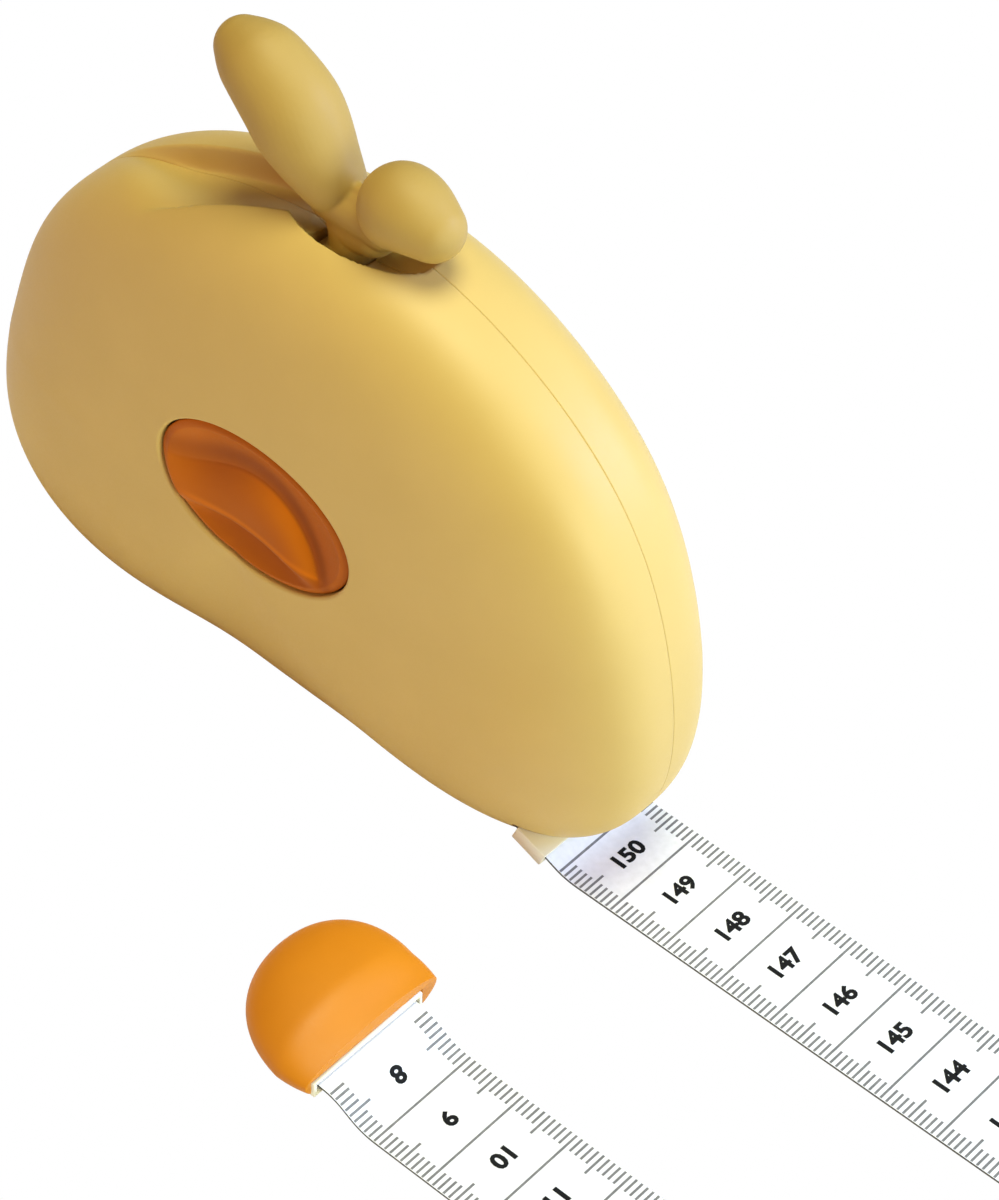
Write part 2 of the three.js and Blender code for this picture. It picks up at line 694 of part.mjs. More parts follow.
const MOUTH_HALF_WIDTH = TAPE_WIDTH / 2 + MOUTH_SIDE_CLEARANCE + MOUTH_WALL;
const MOUTH_HALF_HEIGHT = MOUTH_OPENING / 2 + MOUTH_WALL;

function rollerCentre() {
  const lean = (radians(MOUTH_SLOPE) - drumTangent()) / 2;
  const away = ROLLER_RADIUS + GAP + TAPE_THICKNESS / 2;
  return {
    x: ROLLER_CONTACT.x - away * sin(lean),
    z: ROLLER_CONTACT.z - away * cos(lean),
  };
}

const POST_RADIUS = 2;
const LEVER_BACK_X = LEVER_X + LEVER_BACK;
const POST_OUT = BUTTON_FLANGE + 2 * POST_RADIUS;
const CAGE_POSTS = [
  { x: BUTTON_X + BUTTON_HALF_LENGTH + POST_OUT, z: BUTTON_Z },
  { x: LEVER_BACK_X + 2 * POST_RADIUS, z: BUTTON_Z + BUTTON_HALF_HEIGHT + POST_OUT },
  { x: LEVER_BACK_X + 2 * POST_RADIUS, z: BUTTON_Z - BUTTON_HALF_HEIGHT - POST_OUT },
];

function inward(side, from, to) {
  return side > 0 ? [from, to] : [-to, -from];
}

function shellBosses(side) {
  const out = CASE_HALF_WIDTH;
  const roller = rollerCentre();
  const bosses = [
    rodY(DRUM_X, DRUM_Z, AXLE_BOSS_RADIUS, ...inward(side, FLANGE_EDGE + 2 * GAP, out)),
    rodY(HINGE_X, HINGE_Z, HINGE_RADIUS, ...inward(side, HINGE_HALF_LENGTH + GAP, out)),
    rodY(roller.x, roller.z, ROLLER_BOSS_RADIUS, ...inward(side, ROLLER_HALF_LENGTH + GAP, out)),
    ...SCREW_PLACES.map((p) => rodY(p.x, p.z, SCREW_BOSS_RADIUS, ...inward(side, GAP / 2, out))),
  ];
  if (side < 0) {
    bosses.push(rodY(LEVER_X, LEVER_Z, LEVER_PIN_RADIUS * 2, -out, LEVER_FACE_Y - GAP));
    CAGE_POSTS.forEach((p) => bosses.push(rodY(p.x, p.z, POST_RADIUS, -out, CAGE_Y - GAP)));
  }
  return joined(bosses);
}

function shellHoles(side) {
  const out = CASE_HALF_WIDTH + OVERRUN;
  const roller = rollerCentre();
  const holes = [
    rodY(DRUM_X, DRUM_Z, AXLE_RADIUS + GAP, ...inward(side, 0, AXLE_HALF_LENGTH + GAP)),
    rodY(HINGE_X, HINGE_Z, HINGE_PIN_RADIUS + GAP,
      ...inward(side, 0, HINGE_PIN_HALF_LENGTH + GAP)),
    rodY(roller.x, roller.z, ROLLER_PIN_RADIUS + GAP,
      ...inward(side, 0, ROLLER_PIN_HALF_LENGTH + GAP)),
  ];
  SCREW_PLACES.forEach((p) => {
    if (side > 0) {
      holes.push(rodY(p.x, p.z, SCREW_RADIUS + GAP, 0, out));
      holes.push(rodY(p.x, p.z, SCREW_HEAD_RADIUS + GAP, SCREW_HEAD_Y - GAP, out));
    } else {
      holes.push(rodY(p.x, p.z, SCREW_RADIUS + GAP, SCREW_TIP_Y - GAP, 0));
    }
  });
  if (side < 0) {
    holes.push(plate(ellipseOutline(
      BUTTON_HALF_LENGTH + BUTTON_GAP, BUTTON_HALF_HEIGHT + BUTTON_GAP, 2 * COARSE),
    -out, BUTTON_FLANGE_Y + WALL));
    holes.push(rodY(LEVER_X, LEVER_Z, LEVER_PIN_RADIUS + GAP, LEVER_PIN_BACK_Y - GAP, 0));
  }
  return joined(holes);
}

function shellBody() {
  const big = CASE_LENGTH;
  const outer = body(0, OUTER_STEPS).subtract(box(-big, big, -big, big, -big, 0));
  const inner = body(WALL, INNER_STEPS).subtract(box(-big, big, -big, big, -big, WALL));
  const room = crestRoom();
  const hollow = inner.subtract(crestLining());
  const passage = mouthBlock(
    -(MOUTH_X - ROLLER_X), 0, TAPE_WIDTH / 2 + GAP, TAPE_THICKNESS / 2 + 2 * GAP);
  const mouth = mouthBlock(
    -MOUTH_DEPTH - GAP, MOUTH_DEPTH, MOUTH_HALF_WIDTH + GAP, MOUTH_HALF_HEIGHT + GAP);
  return { outer, hollow, room, cuts: passage.add(mouth) };
}

function basePlate(grow) {
  return box(
    BASE_BACK - grow, BASE_FRONT + grow, -BASE_HALF_WIDTH - grow, BASE_HALF_WIDTH + grow,
    -OVERRUN, WALL + grow);
}

function shells() {
  const { outer, hollow, room, cuts } = shellBody();
  const big = CASE_LENGTH;
  return [-1, 1].map((side) => {
    const half = box(-big, big, ...inward(side, GAP / 2, big), -big, big);
    const bosses = shellBosses(side).intersect(body(WALL / 2, INNER_STEPS));
    const wall = outer.subtract(hollow).add(bosses).intersect(half);
    const bare = wall.subtract(room).subtract(cuts).subtract(shellHoles(side));
    if (side > 0) return bare.subtract(basePlate(GAP));
    const floor = basePlate(0).intersect(outer);
    return bare.add(floor);
  });
}

// Drum, near flange and release lever
function lathed(profile, x, z, segments = 2 * COARSE) {
  const points = profile.map(([r, y]) => new THREE.Vector2(r, y));
  points.push(points[0].clone());
  const geometry = new THREE.LatheGeometry(points, segments);
  geometry.translate(x, 0, z);
  return toSolid(geometry);
}

function drum() {
  const bore = AXLE_RADIUS + GAP;
  const inner = HUB_RADIUS - HUB_WALL;
  return lathed([
    [inner, -TAPE_SPACE + GAP], [HUB_RADIUS, -TAPE_SPACE + GAP], [HUB_RADIUS, TAPE_SPACE],
    [FLANGE_RADIUS, TAPE_SPACE], [FLANGE_RADIUS, FLANGE_EDGE], [bore, FLANGE_EDGE],
    [bore, TAPE_SPACE], [inner, TAPE_SPACE],
  ], DRUM_X, DRUM_Z);
}

function rim(radius, degrees) {
  const a = radians(degrees);
  return [DRUM_X + radius * cos(a), DRUM_Z + radius * sin(a)];
}

function nearFlange() {
  return lathed([
    [AXLE_RADIUS + GAP, -FLANGE_EDGE], [FLANGE_RADIUS, -FLANGE_EDGE],
    [FLANGE_RADIUS, -TAPE_SPACE], [AXLE_RADIUS + GAP, -TAPE_SPACE],
  ], DRUM_X, DRUM_Z);
}

// The lever's face follows the flange, a gap away, between two angles
const PAD_ANGLES = [14, 9, 4, -1, -6];
const WINDOW = { back: 2.05, front: 1.4, half: 1.9 };

function releaseLever() {
  const pad = PAD_ANGLES.map((angle) => rim(FLANGE_RADIUS + GAP, angle));
  const outline = [
    ...pad,
    [LEVER_X - LEVER_BOSS, LEVER_Z + LEVER_BOSS],
    [LEVER_X - LEVER_BOSS, LEVER_Z],
    [LEVER_X + LEVER_BOSS, LEVER_Z],
    [LEVER_BACK_X, LEVER_Z + 2 * LEVER_BOSS],
    [LEVER_BACK_X, LEVER_Z + 6 * LEVER_BOSS],
  ];
  const y0 = LEVER_FACE_Y;
  const y1 = LEVER_FACE_Y + LEVER_THICKNESS;
  const window = box(
    WEDGE_X - WINDOW.back, WEDGE_X + WINDOW.front, y0 - OVERRUN, y1 + OVERRUN,
    WEDGE_Z - WINDOW.half, WEDGE_Z + WINDOW.half);
  return plate(outline, y0, y1)
    .add(rodY(LEVER_X, LEVER_Z, LEVER_BOSS, y0, y1))
    .subtract(rodY(LEVER_X, LEVER_Z, LEVER_PIN_RADIUS + GAP, y0 - OVERRUN, y1 + OVERRUN))
    .subtract(window);
}

// Side button: a dished cap with a raised tongue, a flange and a wedge
const WEDGE_STEPS = { tip: 1, full: 2.6, back: 2.5, half: 1.5 };
const FACE_RINGS = [0.2, 0.4, 0.6, 0.75, 0.88, 0.96, 1];

function faceDrop(u, v) {
  const out = hypot(u, v);
  const dish = BUTTON_DISH * max(1 - out ** 2, 0);
  const away = (v + 0.3 * sin(PI * u)) / 0.4;
  const tongue = BUTTON_TONGUE * Math.exp(-away * away) * max(1 - out ** 2, 0);
  return dish - tongue + GAP * out ** 6;
}

function buttonRing(share, grow, y) {
  const steps = 2 * COARSE;
  return Array.from({ length: steps }, (_, i) => {
    const u = share * cos((2 * PI * i) / steps);
    const v = share * sin((2 * PI * i) / steps);
    const x = BUTTON_X + u * (BUTTON_HALF_LENGTH + grow);
    const z = BUTTON_Z + v * (BUTTON_HALF_HEIGHT + grow);
    return new THREE.Vector3(x, y ?? faceDrop(u, v) - sideHeight(x, z), z);
  });
}

function sideButton() {
  const back = BUTTON_FLANGE_Y + BUTTON_FLANGE_THICKNESS;
  const ceiling = BUTTON_FLANGE_Y - GAP;
  const rings = FACE_RINGS.map((share) => buttonRing(share, 0));
  rings.push(buttonRing(1, 0, BUTTON_FLANGE_Y), buttonRing(1, BUTTON_FLANGE, BUTTON_FLANGE_Y));
  rings.push(buttonRing(1, BUTTON_FLANGE, back), buttonRing(1, -BUTTON_SKIN, back));
  rings.push(buttonRing(1, -BUTTON_SKIN, ceiling), buttonRing(0.5, -BUTTON_SKIN, ceiling));
  const { tip, full, back: run, half } = WEDGE_STEPS;
  const shape = new THREE.Shape([
    [WEDGE_X, WEDGE_TIP_Y], [WEDGE_X + tip, WEDGE_TIP_Y],
    [WEDGE_X + full, WEDGE_TIP_Y - run], [WEDGE_X + full, ceiling - GAP],
    [WEDGE_X, ceiling - GAP],
  ].map(([x, y]) => new THREE.Vector2(x, y)));
  const wedge = new THREE.ExtrudeGeometry(shape, { depth: 2 * half, bevelEnabled: false });
  wedge.translate(0, 0, WEDGE_Z - half);
  return toSolid(skin(rings)).add(toSolid(wedge));
}

const CAGE = { back: 10, top: 7, bottom: 11, ear: 2.5 };
const LUG = { out: 4.8, half: 1.5, depth: 1.9, thickness: 1.7 };
const LUG_X = LEVER_BACK_X + LUG.out;
const LEVER_SPRING_Z = WEDGE_Z + LEVER_SPRING_ABOVE_WEDGE;
const LEVER_SPRING_RADIUS = 0.7;
const LEVER_SPRING_WIRE = 0.2;
const LEVER_SPRING_TURNS = 3;

function buttonCage() {
  const y0 = CAGE_Y;
  const y1 = CAGE_Y + CAGE_THICKNESS;
  const [front, top, bottom] = CAGE_POSTS;
  const half = CAGE.ear;
  const low = BUTTON_Z - CAGE.bottom;
  const high = BUTTON_Z + CAGE.top;
  const window = box(
    WEDGE_X - 2 * GAP, WEDGE_X + WEDGE_STEPS.full + 2 * GAP, y0 - OVERRUN, y1 + OVERRUN,
    WEDGE_Z - WINDOW.half, WEDGE_Z + WINDOW.half);
  return joined([
    box(BUTTON_X - CAGE.back, front.x + half, y0, y1, low, high),
    box(top.x - half, top.x + half, y0, y1, low, top.z + half),
    box(bottom.x - half, bottom.x + half, y0, y1, bottom.z - half, high),
    box(LUG_X, LUG_X + LUG.thickness, y0, y1 + LUG.depth,
      LEVER_SPRING_Z - LUG.half, LEVER_SPRING_Z + LUG.half),
    rodY(BUTTON_X, BUTTON_Z, BUTTON_SPRING_RADIUS - 2 * GAP - BUTTON_SPRING_WIRE,
      y0 - GAP, y0 + GAP),
  ]).subtract(window);
}

function screw({ x, z }) {
  return lathed([
    [0, SCREW_TIP_Y], [SCREW_RADIUS, SCREW_TIP_Y + SCREW_RADIUS], [SCREW_RADIUS, SCREW_HEAD_Y],
    [SCREW_HEAD_RADIUS, SCREW_HEAD_Y], [SCREW_HEAD_RADIUS, SCREW_HEAD_Y + SCREW_HEAD_THICKNESS],
    [0, SCREW_HEAD_Y + SCREW_HEAD_THICKNESS],
  ], x, z, COARSE).subtract(box(
    x - SCREW_HEAD_RADIUS, x + SCREW_HEAD_RADIUS,
    SCREW_HEAD_Y + SCREW_HEAD_THICKNESS / 2, SCREW_HEAD_Y + 2 * SCREW_HEAD_THICKNESS,
    z - SCREW_RADIUS / 3, z + SCREW_RADIUS / 3));
}

// Mouth guide, guide roller and pull tab
function mouthGuide() {
  const outer = mouthBlock(-MOUTH_DEPTH, 1.5 * OVERRUN, MOUTH_HALF_WIDTH, MOUTH_HALF_HEIGHT);
  const hole = mouthBlock(
    -2 * MOUTH_DEPTH, MOUTH_DEPTH, TAPE_WIDTH / 2 + MOUTH_SIDE_CLEARANCE, MOUTH_OPENING / 2);
  return outer.subtract(hole);
}

function guideRoller() {
  const { x, z } = rollerCentre();
  const bore = ROLLER_PIN_RADIUS + GAP;
  return lathed([
    [bore, -ROLLER_HALF_LENGTH], [ROLLER_RADIUS, -ROLLER_HALF_LENGTH],
    [ROLLER_RADIUS, ROLLER_HALF_LENGTH], [bore, ROLLER_HALF_LENGTH],
  ], x, z, COARSE);
}

const LINER_HALF_WIDTH = TAPE_WIDTH / 2 + MOUTH_SIDE_CLEARANCE + MOUTH_WALL;
const LINER_HALF_HEIGHT = MOUTH_OPENING / 2 + MOUTH_WALL;
const LINER_DEPTH = 5;
const TAB_PIN_X = TAB_MOUTH_X - TAB_POCKET_DEPTH + TAB_PIN_RADIUS + 2 * GAP;

function tabBox(x0, x1, halfWidth, halfHeight) {
  return box(
    x0, x1, TAB_STRIP_Y - halfWidth, TAB_STRIP_Y + halfWidth,
    TAB_TAPE_Z - halfHeight, TAB_TAPE_Z + halfHeight);
}

function pinRod(radius, half) {
  return rodY(TAB_PIN_X, TAB_TAPE_Z, radius, TAB_STRIP_Y - half, TAB_STRIP_Y + half);
}

function tabShell() {
  const radii = [TAB_HALF_LENGTH, TAB_HALF_WIDTH, TAB_HALF_HEIGHT];
  const whole = ball([TAB_X, TAB_Y, TAB_HALF_HEIGHT], radii, 0, 2 * COARSE);
  const front = box(TAB_MOUTH_X, 2 * TAB_MOUTH_X, 2 * TAB_Y, 0, -OVERRUN, CASE_HEIGHT);
  return whole.subtract(front)
    .subtract(box(0, 2 * TAB_MOUTH_X, 2 * TAB_Y, 0, -OVERRUN, TAPE_THICKNESS))
    .subtract(tabBox(
      TAB_MOUTH_X - LINER_DEPTH - GAP, TAB_MOUTH_X + OVERRUN,
      LINER_HALF_WIDTH + GAP, LINER_HALF_HEIGHT + GAP))
    .subtract(tabBox(
      TAB_MOUTH_X - TAB_POCKET_DEPTH, TAB_MOUTH_X, TAPE_WIDTH / 2 + 2 * GAP,
      TAPE_THICKNESS / 2 + GAP))
    .subtract(pinRod(TAB_PIN_RADIUS + GAP, TAPE_WIDTH / 2 + 2 * GAP));
}

function tabLiner() {
  return tabBox(TAB_MOUTH_X - LINER_DEPTH, TAB_MOUTH_X + GAP, LINER_HALF_WIDTH, LINER_HALF_HEIGHT)
    .subtract(tabBox(
      0, 2 * TAB_MOUTH_X, LINER_HALF_WIDTH - MOUTH_WALL, LINER_HALF_HEIGHT - MOUTH_WALL));
}

function placeCase() {
  const [left, right] = shells();
  place('left_shell', toGeometry(left), YELLOW, 0.62);
  place('right_shell', toGeometry(right), YELLOW, 0.62);
  SCREW_PLACES.forEach((p, i) => {
    place(`shell_screw_${i + 1}`, toGeometry(screw(p)), STEEL, 0.35, 0.9);
  });
  place('crest_lever', toGeometry(crestLever()), YELLOW, 0.62);
  const half = HINGE_PIN_HALF_LENGTH;
  place('crest_pin', toGeometry(
    rodY(HINGE_X, HINGE_Z, HINGE_PIN_RADIUS, -half, half)), STEEL, 0.35, 0.9);
  const face = shoeFace();
  place('brake_shoe', toGeometry(armBlock(
    face - SHOE_THICKNESS, face, SHOE_HALF_LENGTH,
    FOOT_REACH_Y - SHOE_WIDTH, FOOT_REACH_Y)), BLACK, 0.9);
  place('mouth_guide', toGeometry(mouthGuide()), CREAM, 0.5);
}

function placeWinding() {
  place('axle_post', toGeometry(rodY(
    DRUM_X, DRUM_Z, AXLE_RADIUS, -AXLE_HALF_LENGTH, AXLE_HALF_LENGTH)), STEEL, 0.35, 0.9);
  place('drum', toGeometry(drum()), GREY, 0.6);
  place('near_flange', toGeometry(nearFlange()), GREY, 0.6);
  const centre = new THREE.Vector3(DRUM_X, 0, DRUM_Z);
  const innerRadius = AXLE_RADIUS + 2 * GAP + SPRING_THICKNESS / 2;
  const outerRadius = HUB_RADIUS - HUB_WALL - 2 * GAP - SPRING_THICKNESS / 2;
  const springPitch = (outerRadius - innerRadius) / SPRING_TURNS;
  place('power_spring', ribbon(
    windingFrames(SPRING_TURNS, innerRadius, springPitch, 0, centre),
    SPRING_WIDTH, SPRING_THICKNESS), STEEL, 0.3, 0.9);
  place('wound_leader', ribbon(
    windingFrames(LEADER_TURNS, LEADER_START, LEADER_PITCH, drumTangent() - PI / 2, centre),
    TAPE_WIDTH, TAPE_THICKNESS), WHITE, 0.7);
  const roller = rollerCentre();
  place('guide_roller', toGeometry(guideRoller()), GREY, 0.5);
  const half = ROLLER_PIN_HALF_LENGTH;
  place('roller_pin', toGeometry(
    rodY(roller.x, roller.z, ROLLER_PIN_RADIUS, -half, half)), STEEL, 0.35, 0.9);
}

function placeStop() {
  place('side_button', toGeometry(sideButton()), BURNT_ORANGE, 0.35);
  const y0 = BUTTON_FLANGE_Y - GAP + BUTTON_SPRING_WIRE + GAP;
  const length = CAGE_Y - y0 - BUTTON_SPRING_WIRE - GAP;
  place('button_spring', helix(
    new THREE.Vector3(BUTTON_X, y0, BUTTON_Z), new THREE.Vector3(0, 1, 0),
    new THREE.Vector3(1, 0, 0), BUTTON_SPRING_RADIUS, BUTTON_SPRING_WIRE, length,
    BUTTON_SPRING_TURNS), STEEL, 0.35, 0.9);
  place('button_cage', toGeometry(buttonCage()), GREY, 0.6);
  place('release_lever', toGeometry(releaseLever()), STEEL, 0.4, 0.8);
  place('lever_pin', toGeometry(rodY(
    LEVER_X, LEVER_Z, LEVER_PIN_RADIUS,
    LEVER_PIN_BACK_Y, LEVER_PIN_BACK_Y + LEVER_PIN_LENGTH)), STEEL, 0.35, 0.9);
  const spring = {
    x: LEVER_BACK_X + LEVER_SPRING_WIRE + GAP,
    y: LEVER_FACE_Y + LEVER_THICKNESS / 2,
  };
  place('lever_spring', helix(
    new THREE.Vector3(spring.x, spring.y, LEVER_SPRING_Z), new THREE.Vector3(1, 0, 0),
    new THREE.Vector3(0, 0, 1), LEVER_SPRING_RADIUS, LEVER_SPRING_WIRE,
    LUG_X - spring.x - LEVER_SPRING_WIRE - GAP, LEVER_SPRING_TURNS), STEEL, 0.35, 0.9);
}

function placeTape() {
  place('tape_case_strip', ribbon(caseStripFrames(), TAPE_WIDTH, TAPE_THICKNESS), WHITE, 0.7);
  const frames = rollFrames();
  place('tape_roll', ribbon(frames, TAPE_WIDTH, TAPE_THICKNESS), WHITE, 0.7);
  console.log('least gap in the roll', leastGap(frames, TAPE_THICKNESS).toFixed(3), 'mm');
  place('tape_tab_strip', ribbon(tabStripFrames(), TAPE_WIDTH, TAPE_THICKNESS), WHITE, 0.7);
  place('tab_shell', toGeometry(tabShell()), ORANGE, 0.4);
  place('tab_liner', toGeometry(tabLiner()), CREAM, 0.5);
  place('tab_pin', toGeometry(pinRod(TAB_PIN_RADIUS, TAPE_WIDTH / 2)), STEEL, 0.35, 0.9);
}

placeCase();
placeWinding();
placeStop();
placeTape();

export default group;
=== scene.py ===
"""Cloth tape measure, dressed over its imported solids. Lengths are in mm until they reach a mesh."""

import math

import bmesh
import bpy
import numpy as np
from mathutils import Matrix, Vector


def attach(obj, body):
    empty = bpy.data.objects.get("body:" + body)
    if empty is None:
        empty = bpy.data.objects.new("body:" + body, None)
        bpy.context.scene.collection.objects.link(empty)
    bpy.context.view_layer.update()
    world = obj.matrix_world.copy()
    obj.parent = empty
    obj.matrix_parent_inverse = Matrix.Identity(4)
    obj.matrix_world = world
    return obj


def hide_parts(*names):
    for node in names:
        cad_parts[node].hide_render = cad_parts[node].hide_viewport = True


MM = 0.001
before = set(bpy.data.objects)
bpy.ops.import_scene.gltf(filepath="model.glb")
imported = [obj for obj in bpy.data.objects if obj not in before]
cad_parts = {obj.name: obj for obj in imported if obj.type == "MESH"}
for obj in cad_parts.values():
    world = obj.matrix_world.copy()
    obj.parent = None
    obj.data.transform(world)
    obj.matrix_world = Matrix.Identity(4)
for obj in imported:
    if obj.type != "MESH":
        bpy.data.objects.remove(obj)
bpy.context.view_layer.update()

# Case form: radii about the heart at even turns, as shares that outline_scale brings to mm
OUTLINE_SHARES = np.array([
    1.12, 1.076, 1.003, 0.929, 0.869, 0.866, 0.896, 0.937,
    0.995, 1.134, 1.041, 0.818, 0.777, 0.802, 0.97, 1.149,
])
CASE_LENGTH, CASE_HEIGHT, CASE_HALF_WIDTH = 131.4, 91.5, 20.1
HEART_HEIGHT = 38.5
WALL = 2.0
# How full the sides are: the powers of a superellipse, and how much they fall toward the base
FULL = {"out": 2.54, "out_low": 1.14, "up": 3.15, "up_low": 1.4, "front": 0.65}
OUTLINE_SAMPLES = 1440


def outline_share(angle):
    """The smooth closed curve through the shares, by periodic sinc weights"""
    angle = np.asarray(angle, float)
    total = np.zeros_like(angle)
    n = len(OUTLINE_SHARES)
    for k, share in enumerate(OUTLINE_SHARES):
        x = angle - 2 * np.pi * k / n
        near = np.abs(np.sin(x / 2)) < 1e-9
        safe = np.where(near, 1.0, x)
        weight = np.where(near, 1.0, np.sin(n / 2 * safe) / (n * np.tan(safe / 2)))
        total = total + share * weight
    return total


def outline_scale():
    """Scales along x and z, and the heart's x, that give the case its length and height"""
    a = np.linspace(0, 2 * np.pi, OUTLINE_SAMPLES, endpoint=False)
    x = outline_share(a) * np.cos(a)
    top = (outline_share(a) * np.sin(a)).max()
    k = CASE_LENGTH / (x.max() - x.min())
    return k, (CASE_HEIGHT - HEART_HEIGHT) / top, -k * (x.max() + x.min()) / 2


SX, SZ, HEART_X = outline_scale()


def powers(angle):
    low = np.maximum(-np.sin(angle), 0)
    low = low * (1 - FULL["front"] * np.maximum(np.cos(angle), 0) ** 2)
    return FULL["out"] - FULL["out_low"] * low, FULL["up"] - FULL["up_low"] * low


def polar(x, z):
    dx, dz = (x - HEART_X) / SX, (z - HEART_HEIGHT) / SZ
    return np.arctan2(dz, dx), np.hypot(dx, dz)


def edge_share(angle, inset):
    share = outline_share(angle)
    radius = np.hypot(SX * np.cos(angle), SZ * np.sin(angle)) * share
    return share * (radius - inset) / radius


def side_height(x, z, inset=0.0):
    """How far the case's side stands from the middle plane"""
    angle, reach = polar(x, z)
    p, q = powers(angle)
    part = reach / edge_share(angle, inset)
    return (CASE_HALF_WIDTH - inset) * np.maximum(1 - part ** p, 0) ** (1 / q)


def ease(t):
    return t * t * (3 - 2 * t)


# Mesh helpers
def add_object(name, data):
    obj = bpy.data.objects.new(name, data)
    bpy.context.scene.collection.objects.link(obj)
    return obj


def smooth_shaded(obj):
    obj.data.polygons.foreach_set("use_smooth", [True] * len(obj.data.polygons))


def make_mesh(name, verts, faces, smooth=True, angle=None):
    mesh = bpy.data.meshes.new(name)
    mesh.from_pydata([tuple(v) for v in np.asarray(verts) * MM], [], faces)
    mesh.validate()
    obj = add_object(name, mesh)
    if smooth:
        smooth_shaded(obj)
    bm = bmesh.new()
    bm.from_mesh(mesh)
    bmesh.ops.recalc_face_normals(bm, faces=bm.faces)
    bm.to_mesh(mesh)
    bm.free()
    if angle is not None:
        mesh.set_sharp_from_angle(angle=math.radians(angle))
    return obj


def grid_faces(rows, cols):
    """Quads between rings of points, each ring closed on itself"""
    faces = []
    for i in range(rows - 1):
        for j in range(cols):
            k = (j + 1) % cols
            faces.append((i * cols + j, i * cols + k, (i + 1) * cols + k, (i + 1) * cols + j))
    return faces


def cap_faces(first_tip, last_tip, rows, cols):
    """Triangles from a tip to the first ring, and from the last ring to the other tip"""
    last = (rows - 1) * cols
    return ([(first_tip, (j + 1) % cols, j) for j in range(cols)]
            + [(last_tip, last + j, last + (j + 1) % cols) for j in range(cols)])


def baked(obj):
    """The object with its modifiers applied"""
    graph = bpy.context.evaluated_depsgraph_get()
    mesh = bpy.data.meshes.new_from_object(obj.evaluated_get(graph))
    obj.modifiers.clear()
    obj.data = mesh
    return obj


def cut(obj, cutters):
    for cutter in cutters:
        m = obj.modifiers.new("cut", "BOOLEAN")
        m.operation = "DIFFERENCE"
        m.solver = "EXACT"
        m.object = cutter
    baked(obj)
    for cutter in cutters:
        bpy.data.objects.remove(cutter)
    return obj


def block(x0, x1, y0, y1, z0, z1, name="block"):
    verts = [(x, y, z) for x in (x0, x1) for y in (y0, y1) for z in (z0, z1)]
    faces = [(0, 1, 3, 2), (4, 6, 7, 5), (0, 4, 5, 1), (2, 3, 7, 6), (0, 2, 6, 4), (1, 5, 7, 3)]
    return make_mesh(name, verts, faces, smooth=False)


def cylinder(name, at, radius, y0, y1, count=64):
    """A round bar along y through a point of the x-z plane"""
    verts = []
    for y in (y0, y1):
        for k in range(count):
            a = 2 * math.pi * k / count
            verts.append((at[0] + radius * math.cos(a), y, at[1] + radius * math.sin(a)))
    ends = [tuple(range(count)), tuple(range(2 * count - 1, count - 1, -1))]
    return make_mesh(name, verts, grid_faces(2, count) + ends, angle=40)


def softened(obj, width, segments=3, angle=40):
    """The object with its sharp edges rounded"""
    bevel = obj.modifiers.new("soft", "BEVEL")
    bevel.width = width * MM
    bevel.segments = segments
    bevel.limit_method = "ANGLE"
    bevel.angle_limit = math.radians(angle)
    bevel.harden_normals = True
    baked(obj)
    smooth_shaded(obj)
    obj.data.set_sharp_from_angle(angle=math.radians(angle))
    return obj


# Crest well and groove: floors that the top surface is pressed down to
WELL = {"at": (5.6, 0.0, 91.6), "radii": (13.2, 7.1, 6.4)}
GROOVE_NEAR = np.polyfit([-3.6, -7.9, -13.8, -19.9, -24.9, -40.0],
                         [-4.8, -6.3, -8.3, -10.2, -11.4, -15.0], 2)
GROOVE_FAR = np.polyfit([-3.4, -7.0, -15.0, -20.0, -26.0, -31.0, -41.0],
                        [4.6, 4.1, 3.0, 2.6, 1.9, 1.4, 1.1], 3)
GROOVE = {"depth": 4.0, "wall": 1.5, "bowl": 0.7, "above": 70.0,
          "back": -42.0, "front": 12.0, "front_fade": 4.0, "far_front": -3.4}
GROOVE_END = {"at": -46.0, "lean": 1.33, "length": 22.0}
NO_FLOOR = 1e3


def well_floor(x, y, deeper):
    (cx, cy, cz), (rx, ry, rz) = WELL["at"], WELL["radii"]
    rx, ry, rz = rx + deeper, ry + deeper, rz + deeper
    out = ((x - cx) / rx) ** 2 + ((y - cy) / ry) ** 2
    return np.where(out < 1, cz - rz * np.sqrt(np.maximum(1 - out, 0)), NO_FLOOR)


def press_top(x, y, z, deeper=0.0):
    """The top pressed down by the well and by a groove that opens toward the back"""
    near = np.polyval(GROOVE_NEAR, np.clip(x, GROOVE["back"], GROOVE["front"])) - deeper
    far = np.polyval(GROOVE_FAR, np.clip(x, GROOVE["back"], GROOVE["far_front"])) + deeper
    inside = (far - near) / 2 - np.abs(y - (near + far) / 2)
    valley = ease(np.clip(inside / GROOVE["wall"], 0, 1)) ** GROOVE["bowl"]
    run = (x + GROOVE_END["lean"] * y - GROOVE_END["at"]) / GROOVE_END["length"]
    fade = np.clip((GROOVE["front"] - x) / GROOVE["front_fade"], 0, 1) * ease(np.clip(run, 0, 1))
    sunk = z - np.where(z > GROOVE["above"], (GROOVE["depth"] + deeper) * valley * fade, 0)
    return np.minimum(np.minimum(z, well_floor(x, y, deeper)), sunk)


